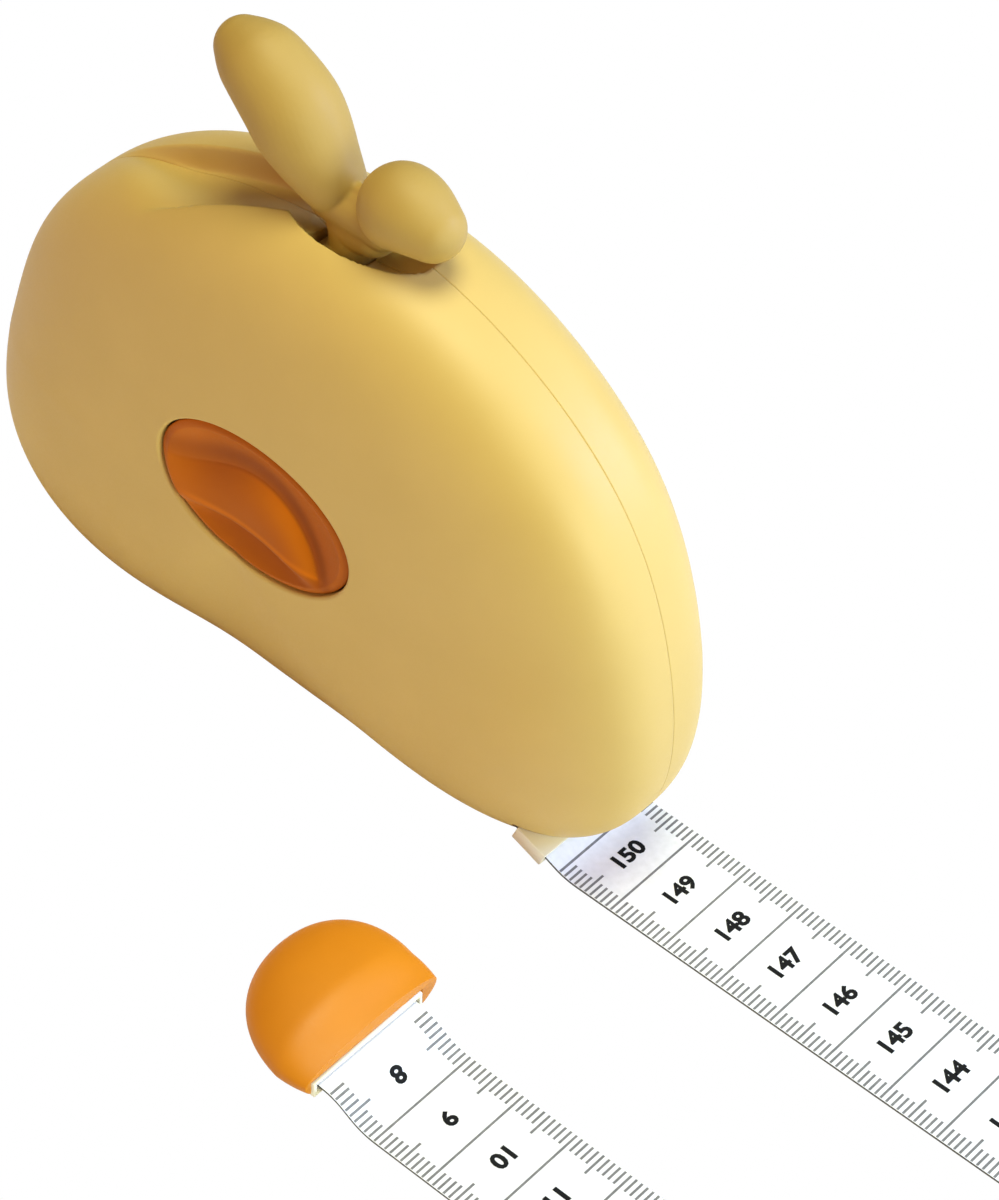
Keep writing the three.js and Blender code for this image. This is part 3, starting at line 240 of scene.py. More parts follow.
# Shells: rings of points on spokes that run from the button's centre out to the seam
BUTTON = {"x": 2.0, "z": 47.0, "a": 18.5, "b": 12.2, "gap": 0.3, "back": -15.8}
SPOKES, FACE_RINGS, SIDE_RINGS = 480, 90, 44
KNEE_Y, SEAM_Y = 9.5, 0.03  # from the knee to the seam the rings step evenly in y
BEYOND_CASE, HALVINGS = 120.0, 50
HOLE_RIM = {"radius": 0.55, "steps": 6, "clear": 0.02, "depth": 1.2}
FOOT_ROUND = 0.5
INNER_PRESS = 1.6
SPOKE_TURNS = np.linspace(0, 2 * np.pi, SPOKES, endpoint=False)
SPOKE_X, SPOKE_Z = np.cos(SPOKE_TURNS), np.sin(SPOKE_TURNS)


def on_spokes(reach):
    return BUTTON["x"] + reach * SPOKE_X, BUTTON["z"] + reach * SPOKE_Z


def hole_reach(hole):
    if not hole:
        return np.zeros(SPOKES)
    return 1 / np.sqrt((SPOKE_X / hole[0]) ** 2 + (SPOKE_Z / hole[1]) ** 2)


def last_reach(low, high, holds):
    """The farthest reach on each spoke at which the condition still holds"""
    for _ in range(HALVINGS):
        mid = (low + high) / 2
        inside = holds(mid)
        low, high = np.where(inside, mid, low), np.where(inside, high, mid)
    return low


def skin_rings(start, inset=0.0):
    """Rings of the case's side from the start reach out to the seam"""
    def within_outline(reach):
        angle, part = polar(*on_spokes(reach))
        return part < edge_share(angle, inset)

    def higher_than(y):
        return lambda reach: side_height(*on_spokes(reach), inset) > y

    end = last_reach(np.zeros(SPOKES), np.full(SPOKES, BEYOND_CASE), within_outline)
    knee = last_reach(start, end, higher_than(KNEE_Y))
    rings = []
    for part in np.linspace(0, 1, FACE_RINGS):
        x, z = on_spokes(start + (knee - start) * part)
        rings.append((x, side_height(x, z, inset), z))
    for y in np.linspace(KNEE_Y, SEAM_Y, SIDE_RINGS)[1:]:
        x, z = on_spokes(last_reach(knee, end, higher_than(y)))
        rings.append((x, np.full(SPOKES, y), z))
    return rings


def rim_rings(start):
    """The rolled rim of the button's hole"""
    rings, radius = [], HOLE_RIM["radius"]
    for turn in np.linspace(0, math.pi / 2, HOLE_RIM["steps"]):
        x, z = on_spokes(start + radius * (1 - math.cos(turn)))
        rings.append((x, side_height(x, z) - radius * (1 - math.sin(turn)), z))
    return rings


def outside_rim(rings, start):
    """The skin's rings with every point moved out past the rim"""
    moved, edge = [], start + HOLE_RIM["radius"] + HOLE_RIM["clear"]
    for x, y, z in rings[1:]:
        reach = np.hypot(x - BUTTON["x"], z - BUTTON["z"])
        new_x, new_z = on_spokes(np.maximum(reach, edge))
        moved.append((new_x, np.where(reach >= edge, y, side_height(new_x, new_z)), new_z))
    return moved


def rounded_foot(z):
    """Heights near the base eased onto the ground"""
    eased = (z + FOOT_ROUND) ** 2 / (4 * FOOT_ROUND) * (z > -FOOT_ROUND)
    return np.where(z < FOOT_ROUND, eased, z)


def shell(name, side, hole=None):
    """One half of the case as a closed skin, open at the button's hole if it has one"""
    start = hole_reach(hole)
    outer = skin_rings(start)
    if hole:
        outer = rim_rings(start) + outside_rim(outer, start)
    outer = [(x, y, rounded_foot(press_top(x, side * y, z))) for x, y, z in outer]
    inner = [(x, y, np.maximum(press_top(x, side * y, z, INNER_PRESS), WALL))
             for x, y, z in skin_rings(start, WALL)[::-1]]
    if hole:
        x, y, z = outer[0]
        inner.append((x, y - HOLE_RIM["depth"], z))
    rings = np.array(outer + inner)
    verts = rings.transpose(0, 2, 1).reshape(-1, 3) * (1, side, 1)
    faces = grid_faces(len(rings), SPOKES)
    if hole:
        last = (len(rings) - 1) * SPOKES
        faces += [(last + j, last + (j + 1) % SPOKES, (j + 1) % SPOKES, j) for j in range(SPOKES)]
        return make_mesh(name, verts, faces)
    tips = [(BUTTON["x"], side * side_height(BUTTON["x"], BUTTON["z"], inset), BUTTON["z"])
            for inset in (0, WALL)]
    faces += cap_faces(len(verts), len(verts) + 1, len(rings), SPOKES)
    return make_mesh(name, np.vstack([verts, tips]), faces)


# Crest: rows of x, z and ball radius. The balls along each line join into one moulding
HINGE = (4.0, 80.5)
CREST_LINES = {
    "large lobe": [(-16.4, 109.5, 4.3), (-13.9, 108.5, 5.7), (-12.0, 107.6, 6.3),
                   (-8.0, 104.4, 6.85), (-5.7, 101.6, 6.8), (-2.3, 97.6, 5.65), (0.0, 95.2, 4.8)],
    "small lobe": [(12.6, 97.4, 5.9), (13.3, 98.2, 6.2), (15.4, 98.2, 5.85), (18.8, 97.4, 4.66)],
    "web's top": [(1.0, 95.9, 1.2), (5.5, 96.2, 1.1), (11.0, 96.6, 1.5)],
    "web": [(0.5, 94.2, 2.4), (5.5, 94.3, 2.4), (11.0, 94.8, 2.8)],
    "web's foot": [(0.0, 92.4, 3.5), (5.0, 92.4, 3.7), (10.0, 92.8, 3.7)],
    "shoulder": [(3.6, 90.0, 3.6), (5.5, 90.0, 3.7), (8.0, 90.4, 3.6)],
    "stem": [(4.0, 91.0, 3.6), (4.0, 87.0, 3.6), (4.0, 82.0, 3.6)],
}
BALLS_PER_LINE = 60
BALL_RINGS, BALL_AROUND = 28, 48
HUB = {"radius": 5.2, "half": 3.7, "pin": 1.5, "pin_half": 20.0, "pin_sides": 32}
APRON = {"out": 4.8, "radius": 1.6, "from": 105, "to": 170, "bars": 9}
ARM = {"reach": 22.6, "half": 2.5, "y": 3.0, "foot": 4.0, "foot_y": 12.1}
BRAKE_TRAVEL = math.radians(15)
SKIN = {"cube": 0.22, "soften": 0.5, "times": 6}


def curve_points(points, count):
    """Points at even steps along the smooth curve through the given ones"""
    pts = np.array(points, float)
    padded = np.vstack([2 * pts[0] - pts[1], pts, 2 * pts[-1] - pts[-2]])
    t = np.linspace(0, len(pts) - 1 - 1e-9, count)
    i = t.astype(int)
    u = (t - i)[:, None]
    p0, p1, p2, p3 = padded[i], padded[i + 1], padded[i + 2], padded[i + 3]
    return 0.5 * (2 * p1 + (p2 - p0) * u + (2 * p0 - 5 * p1 + 4 * p2 - p3) * u ** 2
                  + (3 * p1 - p0 - 3 * p2 + p3) * u ** 3)


def ball(x, z, radius):
    lat = np.pi * (np.arange(BALL_RINGS) + 0.5) / BALL_RINGS
    lon = 2 * np.pi * np.arange(BALL_AROUND) / BALL_AROUND
    up, out = np.cos(lat)[:, None], np.sin(lat)[:, None]
    verts = np.stack([x + radius * out * np.cos(lon), radius * out * np.sin(lon),
                      z + radius * up * np.ones(BALL_AROUND)], -1).reshape(-1, 3)
    last = (BALL_RINGS - 1) * BALL_AROUND
    caps = [tuple(range(BALL_AROUND))[::-1], tuple(range(last, last + BALL_AROUND))]
    return verts, grid_faces(BALL_RINGS, BALL_AROUND) + caps


def arm_block(near, far, y0, y1):
    """A block on the brake arm, which leaves the hinge short of the drum by the brake's travel"""
    heading = math.atan2(DRUM["z"] - HINGE[1], DRUM["x"] - HINGE[0]) - BRAKE_TRAVEL
    c, s = math.cos(heading), math.sin(heading)
    obj = block(near, far, y0, y1, -ARM["half"], ARM["half"])
    for v in obj.data.vertices:
        x, y, z = v.co / MM
        v.co = Vector((HINGE[0] + x * c - z * s, y, HINGE[1] + x * s + z * c)) * MM
    return obj


def hinge_bars():
    """The hub, and the round bars that carry its apron"""
    bars = [("hub", HINGE, HUB["radius"])]
    for a in np.radians(np.linspace(APRON["from"], APRON["to"], APRON["bars"])):
        at = (HINGE[0] + APRON["out"] * math.cos(a), HINGE[1] + APRON["out"] * math.sin(a))
        bars.append(("apron", at, APRON["radius"]))
    return [cylinder(name, at, radius, -HUB["half"], HUB["half"]) for name, at, radius in bars]


def merged(name, parts):
    """One mesh of many closed pieces, joined through small cubes into a single skin"""
    verts, faces = [], []
    for points, polys in parts:
        faces += [tuple(len(verts) + k for k in poly) for poly in polys]
        verts += list(points)
    obj = make_mesh(name, verts, faces)
    remesh = obj.modifiers.new("remesh", "REMESH")
    remesh.mode = "VOXEL"
    remesh.voxel_size = SKIN["cube"] * MM
    remesh.use_smooth_shade = True
    smooth = obj.modifiers.new("soften", "SMOOTH")
    smooth.factor = SKIN["soften"]
    smooth.iterations = SKIN["times"]
    return baked(obj)


def crest():
    parts = []
    for line in CREST_LINES.values():
        parts += [ball(x, z, r) for x, z, r in curve_points(line, BALLS_PER_LINE)]
    bars = hinge_bars() + [
        arm_block(0, ARM["reach"], -ARM["y"], ARM["y"]),
        arm_block(ARM["reach"] - ARM["foot"], ARM["reach"], -ARM["y"], ARM["foot_y"]),
    ]
    for obj in bars:
        points = [tuple(v.co / MM) for v in obj.data.vertices]
        parts.append((points, [tuple(p.vertices) for p in obj.data.polygons]))
        bpy.data.objects.remove(obj)
    whole = merged("crest_moulding", parts)
    cut(whole, [cylinder("pin_hole", HINGE, HUB["pin"], -HUB["pin_half"], HUB["pin_half"],
                         HUB["pin_sides"])])
    smooth_shaded(whole)
    return whole


# Side button: an oval cap with a dished face and an S-shaped tongue. u and v run from -1 to 1
# across the oval, and the two curves give the tongue's top edge and its ridge as v over u
TONGUE_TOP = np.polyfit([-0.9, -0.57, -0.13, 0.22, 0.48, 0.64, 0.8],
                        [0.0, 0.1, 0.32, 0.22, -0.12, -0.42, -0.8], 4)
TONGUE_RIDGE = np.polyfit([-0.9, -0.65, -0.36, 0.0, 0.3, 0.66, 0.85],
                          [-0.45, -0.48, -0.38, -0.43, -0.5, -0.52, -0.5], 4)
RIM = {"sunk": 0.35, "roll": 0.45, "from": 0.92, "wide": 0.08}
DISH, TONGUE = 2.6, 2.2
TONGUE_SLOPE, RIDGE_DROP = 0.6, 0.11
# Painted light on the face: how much painted highlight each place adds to the plain tint or painted
# shade it takes from it, where it lies, how wide
PAINTED_LIGHT_SHARES = {"plain": 0.4, "glow": 0.6, "ridge": 0.3, "groove": 0.3, "dish": 0.4, "left": 0.15}
TONGUE_EDGE = {"top": 0.05, "ridge": 0.03}
TONGUE_PAINTED_HIGHLIGHT = {"u": 0.3, "wide": 0.42, "below_top": 0.3}
RIDGE_PAINTED_HIGHLIGHT = {"above": 0.03, "high": 0.035, "end": 0.8}
GROOVE_PAINTED_SHADE = {"below": 0.12, "high": 0.1, "u": 0.05, "wide": 0.45}
DISH_SHADE = {"above": 0.2, "high": 0.2, "rim": 1.1, "soft": 0.3}
LEFT_PAINTED_SHEEN = {"u": -0.75, "wide": 0.3}
CAP_RINGS, CAP_AROUND = 120, 240
CAP_CENTRE = 0.004
CAP_SKIRT = (0.25, 3.4)  # how far below the face's edge each ring of the skirt lies
CAP_BACK = (1.0, 0.7)    # the back's rings, as shares of the edge
# Painted light level of the skirt and back, below the plain face: painted shade
SKIRT_PAINTED_LIGHT = 0.3


def bell(distance, width):
    return np.exp(-(distance / width) ** 2)


def button_drop(u, v):
    """Depth below the case: a soft rim, a dish, and a tongue that rises to a crisp ridge"""
    out = np.hypot(u, v)
    rim = RIM["sunk"] + RIM["roll"] * np.clip((out - RIM["from"]) / RIM["wide"], 0, 1) ** 2
    dish = DISH * np.clip(1 - (out / RIM["from"]) ** 3, 0, 1)
    rise = np.clip((np.polyval(TONGUE_TOP, u) - v) / TONGUE_SLOPE, 0, 1)
    fall = np.maximum(np.polyval(TONGUE_RIDGE, u) - v, 0)
    tongue = TONGUE * (1 - (1 - rise) ** 2) * bell(fall, RIDGE_DROP)
    return rim + dish - tongue * np.clip(1 - out ** 5, 0, 1)


def button_tint(u, v):
    """How bright the painted light and shade on the moulded colour are: full on the tongue's top
    side, least in the dish
    """
    top, ridge = np.polyval(TONGUE_TOP, u), np.polyval(TONGUE_RIDGE, u)
    on = (np.clip((top - v) / TONGUE_EDGE["top"], 0, 1)
          * np.clip((v - ridge) / TONGUE_EDGE["ridge"], 0, 1))
    # Painted highlight on the tongue's top side, just below its top edge
    glow = on * bell(u - TONGUE_PAINTED_HIGHLIGHT["u"], TONGUE_PAINTED_HIGHLIGHT["wide"]) * bell(top - v, TONGUE_PAINTED_HIGHLIGHT["below_top"])
    # Painted highlight: a thin bright line along the tongue's ridge
    ridge_highlight = (bell(v - ridge - RIDGE_PAINTED_HIGHLIGHT["above"], RIDGE_PAINTED_HIGHLIGHT["high"])
                  * np.clip(1 - (u / RIDGE_PAINTED_HIGHLIGHT["end"]) ** 4, 0, 1))
    # Painted shade in the groove just below the ridge
    groove = (bell(v - ridge + GROOVE_PAINTED_SHADE["below"], GROOVE_PAINTED_SHADE["high"])
              * bell(u - GROOVE_PAINTED_SHADE["u"], GROOVE_PAINTED_SHADE["wide"]))
    # Painted shade in the dish above the tongue
    dish = (bell(v - top - DISH_SHADE["above"], DISH_SHADE["high"]) * (1 - on)
            * np.clip(DISH_SHADE["rim"] - np.hypot(u, v), 0, 1) ** DISH_SHADE["soft"])
    # Painted sheen on the left part of the face
    left = bell(u - LEFT_PAINTED_SHEEN["u"], LEFT_PAINTED_SHEEN["wide"])
    return np.clip(PAINTED_LIGHT_SHARES["plain"] + PAINTED_LIGHT_SHARES["glow"] * glow + PAINTED_LIGHT_SHARES["ridge"] * ridge_highlight
                   - PAINTED_LIGHT_SHARES["groove"] * groove - PAINTED_LIGHT_SHARES["dish"] * dish + PAINTED_LIGHT_SHARES["left"] * left, 0, 1)


def button():
    share = np.maximum(np.arange(CAP_RINGS + 1) / CAP_RINGS, CAP_CENTRE)[:, None]
    turn = 2 * np.pi * np.arange(CAP_AROUND) / CAP_AROUND
    u, v = share * np.cos(turn), share * np.sin(turn)
    x, z = BUTTON["x"] + u * BUTTON["a"], BUTTON["z"] + v * BUTTON["b"]
    face = np.stack([x, button_drop(u, v) - side_height(x, z), z], -1)
    edge, back = face[-1], np.array([BUTTON["x"], BUTTON["back"], BUTTON["z"]])
    rings = list(face) + [edge + (0, drop, 0) for drop in CAP_SKIRT]
    rings += [back + (edge - back) * (shrink, 0, shrink) for shrink in CAP_BACK]
    front_tip = (BUTTON["x"], face[0, 0, 1], BUTTON["z"])
    verts = np.vstack([*rings, front_tip, back])
    tips = len(verts) - 2
    faces = grid_faces(len(rings), CAP_AROUND) + cap_faces(tips, tips + 1, len(rings), CAP_AROUND)
    obj = make_mesh("button_cap", verts, faces, angle=60)
    # Painted light level at each point, from painted shade (0) to painted highlight (1)
    painted_light_level = np.full(len(verts), SKIRT_PAINTED_LIGHT)
    painted_light_level[:u.size] = button_tint(u, v).ravel()
    layer = obj.data.attributes.new("painted_light_level", "FLOAT", "POINT")
    layer.data.foreach_set("value", painted_light_level)
    return obj


# Tape route, as in the solids: from the drum through the mouth, out to a standing roll and back.
# A stretch is rows of centre points, and rows of the direction that the printed side faces
TAPE = {"width": 20.0, "thick": 0.45, "length": 1420.0, "first": 8, "last": 150}
MOUTH = {"x": 51.0, "z": 2.3, "slope": math.radians(22), "settle": 7.0}
DRUM = {"x": -23.0, "z": 42.0, "leader": 16.675}
ROLL = {"x": 200.0, "r": 21.6, "pitch": 1.2, "clear": 0.6, "turn_steps": 72}
CASE_Y, TAB_Y = -0.4, -54.0
CASE_TWIST, TAB_TWIST, TWIST, TWIST_STEPS = 138.0, 102.0, 54.0, 60
CORE_STEPS, BEND_STEPS = 30, 40
SLOPE_STEPS, SETTLE_STEPS, RISE_STEPS = 40, 24, 40
TAB_MOUTH, TAB_TAPE_Z, TAB_SETTLE = 57.0, 3.6, 11.0
TAB_DEPTH, TAB_END = 5.0, 48.3
SLEEVE_X = 33.0                         # where the tape reaches the slope of the mouth
SIDESTEP = {"from": 30, "over": 12}     # where it moves from the drum's plane to the mouth's
LAST_LINE_X, FIRST_LINE_X = 54.5, 65.5  # the lines by the last and the first number
HALF, FLAT_Z = TAPE["width"] / 2, TAPE["thick"] / 2
UPRIGHT = math.pi / 2


def bezier(p, count):
    p = np.array(p, float)
    t = np.linspace(0, 1, count)[:, None]
    return ((1 - t) ** 3 * p[0] + 3 * (1 - t) ** 2 * t * p[1]
            + 3 * (1 - t) * t ** 2 * p[2] + t ** 3 * p[3])


def normed(rows):
    return rows / np.linalg.norm(rows, axis=1)[:, None]


def level_stretch(points, y, heading):
    """A stretch that rises and falls in an upright plane, heading away (1) or back (-1)"""
    step, none = normed(np.gradient(points, axis=0)), np.zeros(len(points))
    return (np.column_stack([points[:, 0], none + y, points[:, 1]]),
            np.column_stack([-step[:, 1] * heading, none, step[:, 0] * heading]))


def turned_stretch(x, y, turn, heading):
    """A straight stretch on the ground, turned about x from flat (0) to standing on edge"""
    none = np.zeros(len(x))
    turn = none + turn
    return (np.column_stack([x, none + y, HALF * np.sin(turn) + FLAT_Z * np.cos(turn)]),
            np.column_stack([none, -heading * np.sin(turn), np.cos(turn)]))


def standing_stretch(x, y, heading):
    """A stretch that stands on edge, with its compass heading at every row"""
    none = np.zeros(len(x))
    return (np.column_stack([x, y, none + HALF]),
            np.column_stack([np.sin(heading), -np.cos(heading), none]))


def mouth_line():
    """Points in the upright plane from the drum, down the mouth's slope and onto the ground"""
    c, s = math.cos(MOUTH["slope"]), math.sin(MOUTH["slope"])
    mouth, slope = np.array([MOUTH["x"], MOUTH["z"]]), np.array([c, -s])
    contact = mouth + (SLEEVE_X - MOUTH["x"]) / c * slope
    dx, dz = contact - np.array([DRUM["x"], DRUM["z"]])
    angle = math.atan2(dz, dx) + math.asin(DRUM["leader"] / math.hypot(dx, dz))
    start = np.array([DRUM["x"] + DRUM["leader"] * math.sin(angle),
                      DRUM["z"] - DRUM["leader"] * math.cos(angle)])
    t = np.linspace(0, 1, SLOPE_STEPS)[:, None]
    settle = bezier([mouth, mouth + MOUTH["settle"] / 3 * slope,
                     (MOUTH["x"] + MOUTH["settle"] / 2, FLAT_Z),
                     (MOUTH["x"] + MOUTH["settle"], FLAT_Z)], SETTLE_STEPS)
    return np.vstack([start + (contact - start) * t, contact + (mouth - contact) * t[1:],
                      settle[1:]])


def case_stretches():
    """From the drum, flat along the ground and up onto its edge at the roll"""
    line = mouth_line()
    y = CASE_Y * np.clip((line[:, 0] - SIDESTEP["from"]) / SIDESTEP["over"], 0, 1)
    part = np.arange(TWIST_STEPS + 1) / TWIST_STEPS
    flat = np.arange(line[-1, 0] + 1, CASE_TWIST, 1.0)
    standing = np.arange(CASE_TWIST + TWIST + 1, ROLL["x"] - 0.5, 1.0)
    return [
        level_stretch(line, y, 1),
        turned_stretch(flat, CASE_Y, 0.0, 1),
        turned_stretch(CASE_TWIST + TWIST * part, CASE_Y, UPRIGHT * ease(part), 1),
        turned_stretch(standing, CASE_Y, UPRIGHT, 1),
    ]


def roll_stretches():
    """Wound in, through an S at the core, out between the same turns and round the bend"""
    roll_y, radius, pitch = CASE_Y - ROLL["r"], ROLL["r"], ROLL["pitch"]
    bend = (roll_y - radius - TAB_Y) / 2
    twists_add = 2 * (math.hypot(TWIST, HALF) - TWIST)
    length = (TAPE["length"] - (ROLL["x"] - LAST_LINE_X) - (ROLL["x"] - FIRST_LINE_X)
              - twists_add - math.pi * bend)
    core = (pitch + math.sqrt(pitch ** 2 + 4 * (radius ** 2 - length * pitch / math.pi))) / 2
    sweep = (radius - core) * math.pi / pitch
    steps = int(sweep / (2 * math.pi) * ROLL["turn_steps"])
    inner = UPRIGHT - sweep

    def spiral(t, begin):
        a, r = begin - sweep * t, radius - (radius - core) * t
        return standing_stretch(ROLL["x"] + r * np.cos(a), roll_y + r * np.sin(a), a - begin)

    def core_half(side, count):
        a = inner - side * math.pi * np.arange(1, count + 1) / CORE_STEPS
        return standing_stretch(ROLL["x"] + core / 2 * (side * math.cos(inner) + np.cos(a)),
                                roll_y + core / 2 * (side * math.sin(inner) + np.sin(a)),
                                a - side * UPRIGHT)

    part = np.arange(steps + 1) / steps
    a = math.pi * np.arange(1, BEND_STEPS + 1) / BEND_STEPS
    return [
        spiral(part, UPRIGHT),
        core_half(1, CORE_STEPS),
        core_half(-1, CORE_STEPS - 1),
        spiral(1 - part, -UPRIGHT),
        standing_stretch(ROLL["x"] + ROLL["clear"] + bend * np.sin(a),
                         roll_y - radius - bend * (1 - np.cos(a)), -a),
    ]


def tab_stretches():
    """From the bend back to the pull tab, down from its edge and up into the tab's mouth"""
    part = np.arange(TWIST_STEPS + 1) / TWIST_STEPS
    settled, halfway = TAB_MOUTH + TAB_SETTLE, TAB_MOUTH + TAB_SETTLE / 2
    rise = bezier([(settled, FLAT_Z), (halfway, FLAT_Z), (halfway, TAB_TAPE_Z),
                   (TAB_MOUTH, TAB_TAPE_Z)], RISE_STEPS)
    end = [(TAB_MOUTH - TAB_DEPTH, TAB_TAPE_Z), (TAB_END, TAB_TAPE_Z)]
    standing = np.arange(ROLL["x"] - 1, TAB_TWIST + TWIST, -1.0)
    return [
        turned_stretch(standing, TAB_Y, UPRIGHT, -1),
        turned_stretch(TAB_TWIST + TWIST * (1 - part), TAB_Y, UPRIGHT * (1 - ease(part)), -1),
        turned_stretch(np.arange(TAB_TWIST - 1, settled, -1.0), TAB_Y, 0.0, -1),
        level_stretch(np.vstack([rise, end]), TAB_Y, -1),
    ]


def route():
    """Rows of centre, printed side, direction across and printed millimetre, drum to tab"""
    stretches = case_stretches() + roll_stretches() + tab_stretches()
    at, up = (np.vstack(rows) for rows in zip(*stretches))
    travel = normed(np.gradient(at, axis=0))
    up = normed(up)
    up = normed(up - travel * (up * travel).sum(1)[:, None])
    run = np.concatenate([[0], np.cumsum(np.linalg.norm(np.diff(at, axis=0), axis=1))])
    on_case_side = at[:, 0] < CASE_TWIST
    first_rows = slice(0, int(np.argmin(on_case_side)))
    last_line = np.interp(LAST_LINE_X, at[first_rows, 0], run[first_rows])
    return {"at": at, "up": up, "across": np.cross(up, travel), "length": float(run[-1]),
            "number": 10.0 * TAPE["last"] - (run - last_line)}


ROUTE = route()


def on_tape(number, off, lift):
    """Points on the tape by their printed millimetre, offset across and height above it"""
    def along(key):
        columns = ROUTE[key][::-1].T
        return np.stack([np.interp(number, ROUTE["number"][::-1], c) for c in columns], -1)

    at, up, across = along("at"), along("up"), along("across")
    return at + across * off[..., None] + up * (TAPE["thick"] / 2 + lift)


TAPE_COLUMNS = 9


def tape():
    """The drawn-out tape as one strip, with its printed measure kept on every point"""
    across = np.linspace(-HALF, HALF, TAPE_COLUMNS)
    off = np.concatenate([across, across[::-1]])
    face = np.repeat([1.0, -1.0], TAPE_COLUMNS)
    rows, n = len(ROUTE["at"]), len(off)
    verts = (ROUTE["at"][:, None] + ROUTE["across"][:, None] * off[:, None]
             + ROUTE["up"][:, None] * (TAPE["thick"] / 2 * face)[:, None]).reshape(-1, 3)
    ends = [tuple(range(n))[::-1], tuple(range((rows - 1) * n, rows * n))]
    obj = make_mesh("tape", verts, grid_faces(rows, n) + ends, angle=40)
    for name, values in (("printed", np.repeat(ROUTE["number"], n)),
                         ("across", np.tile(off, rows)), ("face", np.tile(face, rows))):
        layer = obj.data.attributes.new(name, "FLOAT", "POINT")
        layer.data.foreach_set("value", values)
    return obj


PRINT = {"height": 2.9, "wide": 1.12, "lift": 0.02, "bold": 0.04, "curve_steps": 3}


def number_shape(text):
    """A printed number as flat points, across and along the tape about its middle, and its faces"""
    curve = bpy.data.curves.new("number", "FONT")
    curve.body = text
    curve.resolution_u = PRINT["curve_steps"]
    curve.offset = PRINT["bold"]
    obj = add_object("number", curve)
    graph = bpy.context.evaluated_depsgraph_get()
    mesh = bpy.data.meshes.new_from_object(obj.evaluated_get(graph))
    pts = np.array([v.co[:2] for v in mesh.vertices])
    faces = [tuple(p.vertices) for p in mesh.polygons]
    bpy.data.objects.remove(obj)
    low, high = pts.min(0), pts.max(0)
    pts = (pts - (low + high) / 2) * PRINT["height"] / (high[1] - low[1])
    return pts * (PRINT["wide"], 1), faces


def numbers():
    """Every number laid on the tape, half a centimetre before its own line"""
    verts, faces = [], []
    for n in range(TAPE["first"], TAPE["last"] + 1):
        pts, polys = number_shape(str(n))
        faces += [tuple(len(verts) + k for k in poly) for poly in polys]
        verts += list(on_tape(10.0 * n - 5.0 + pts[:, 1], pts[:, 0], PRINT["lift"]))
    mesh = bpy.data.meshes.new("printed_numbers")
    mesh.from_pydata([tuple(v) for v in np.array(verts) * MM], [], faces)
    return add_object("printed_numbers", mesh)


# Mouth lip and case halves. Blocks at the mouth run along its slope, about the tape's centre
LIP = {"from": -5.0, "to": 0.9, "half_width": 10.9, "half_height": 1.5}
LIP_HOLE = {"from": -16.0, "to": 8.0, "half_width": 10.4, "half_height": 0.8}
MOUTH_CUT = {"from": -6.0, "to": 30.0, "half_width": 11.4, "half_height": 1.8}
NECK_SLOT = {"x0": -1.1, "x1": 8.0, "y0": -4.0, "y1": 4.0, "z0": 76.0, "z1": 99.0}
SCREWS = [(-51.0, 27.0), (-42.0, 65.9), (39.0, 60.0), (44.9, 21.0)]
SCREW_WELL = {"radius": 2.9, "from": 11.2, "to": 30.0}
SOFT_EDGES = {"lip": 0.18, "dome": 0.35, "liner": 0.15}


def guide_block(name, shape):
    """A block along the slope of the mouth, centred on the tape"""
    wide, high = shape["half_width"], shape["half_height"]
    obj = block(shape["from"], shape["to"], -wide, wide, -high, high, name)
    turn = Matrix.Rotation(MOUTH["slope"], 4, "Y")
    place = Matrix.Translation(Vector((MOUTH["x"], CASE_Y, MOUTH["z"])) * MM)
    obj.data.transform(place @ turn)
    return obj


def mouth_lip():
    lip = cut(guide_block("mouth_lip", LIP), [guide_block("lip_hole", LIP_HOLE)])
    return softened(lip, SOFT_EDGES["lip"])


def cases():
    hole = (BUTTON["a"] + BUTTON["gap"], BUTTON["b"] + BUTTON["gap"])
    left, right = shell("left_case", -1, hole), shell("right_case", 1)
    for obj in (left, right):
        cut(obj, [guide_block("mouth_cut", MOUTH_CUT), block(**NECK_SLOT, name="neck_slot")])
    cut(right, [cylinder("screw_well", at, SCREW_WELL["radius"], SCREW_WELL["from"],
                         SCREW_WELL["to"]) for at in SCREWS])
    return left, right


# Pull tab: a flattened egg, blunt at its back and cut off square at its mouth. The rooms inside
# follow the solids: half widths and half heights about the tape's end
TAB = {"x": 51.9, "y": -53.1, "a": 15.8, "b": 14.2, "h": 5.0, "fall": 0.45,
       "blunt": 2.3, "round": 2.15, "back": 0.97, "skew": 2.6, "foot": 0.45}
TAB_FALL = {"from": -0.12, "over": 0.5}
TAB_RINGS, TAB_AROUND = 60, 128
TAB_PIN = {"x": 46.8, "radius": 1.5}
LINER = {"half_width": 11.1, "half_height": 1.5, "proud": 0.3, "clear": 0.3}
LINER_GAP = {"half_width": 10.4, "half_height": 0.8}
POCKET = {"from": 44.9, "half_width": 10.6, "half_height": 0.53}
PAST_TAB = {"x1": 120, "y0": -100, "y1": 0, "z0": -5}
ABOVE_TAB = 50


def tab_block(name, x0, x1, wide, high):
    """A block about the end of the tape in the tab"""
    return block(x0, x1, TAB_Y - wide, TAB_Y + wide, TAB_TAPE_Z - high, TAB_TAPE_Z + high, name)


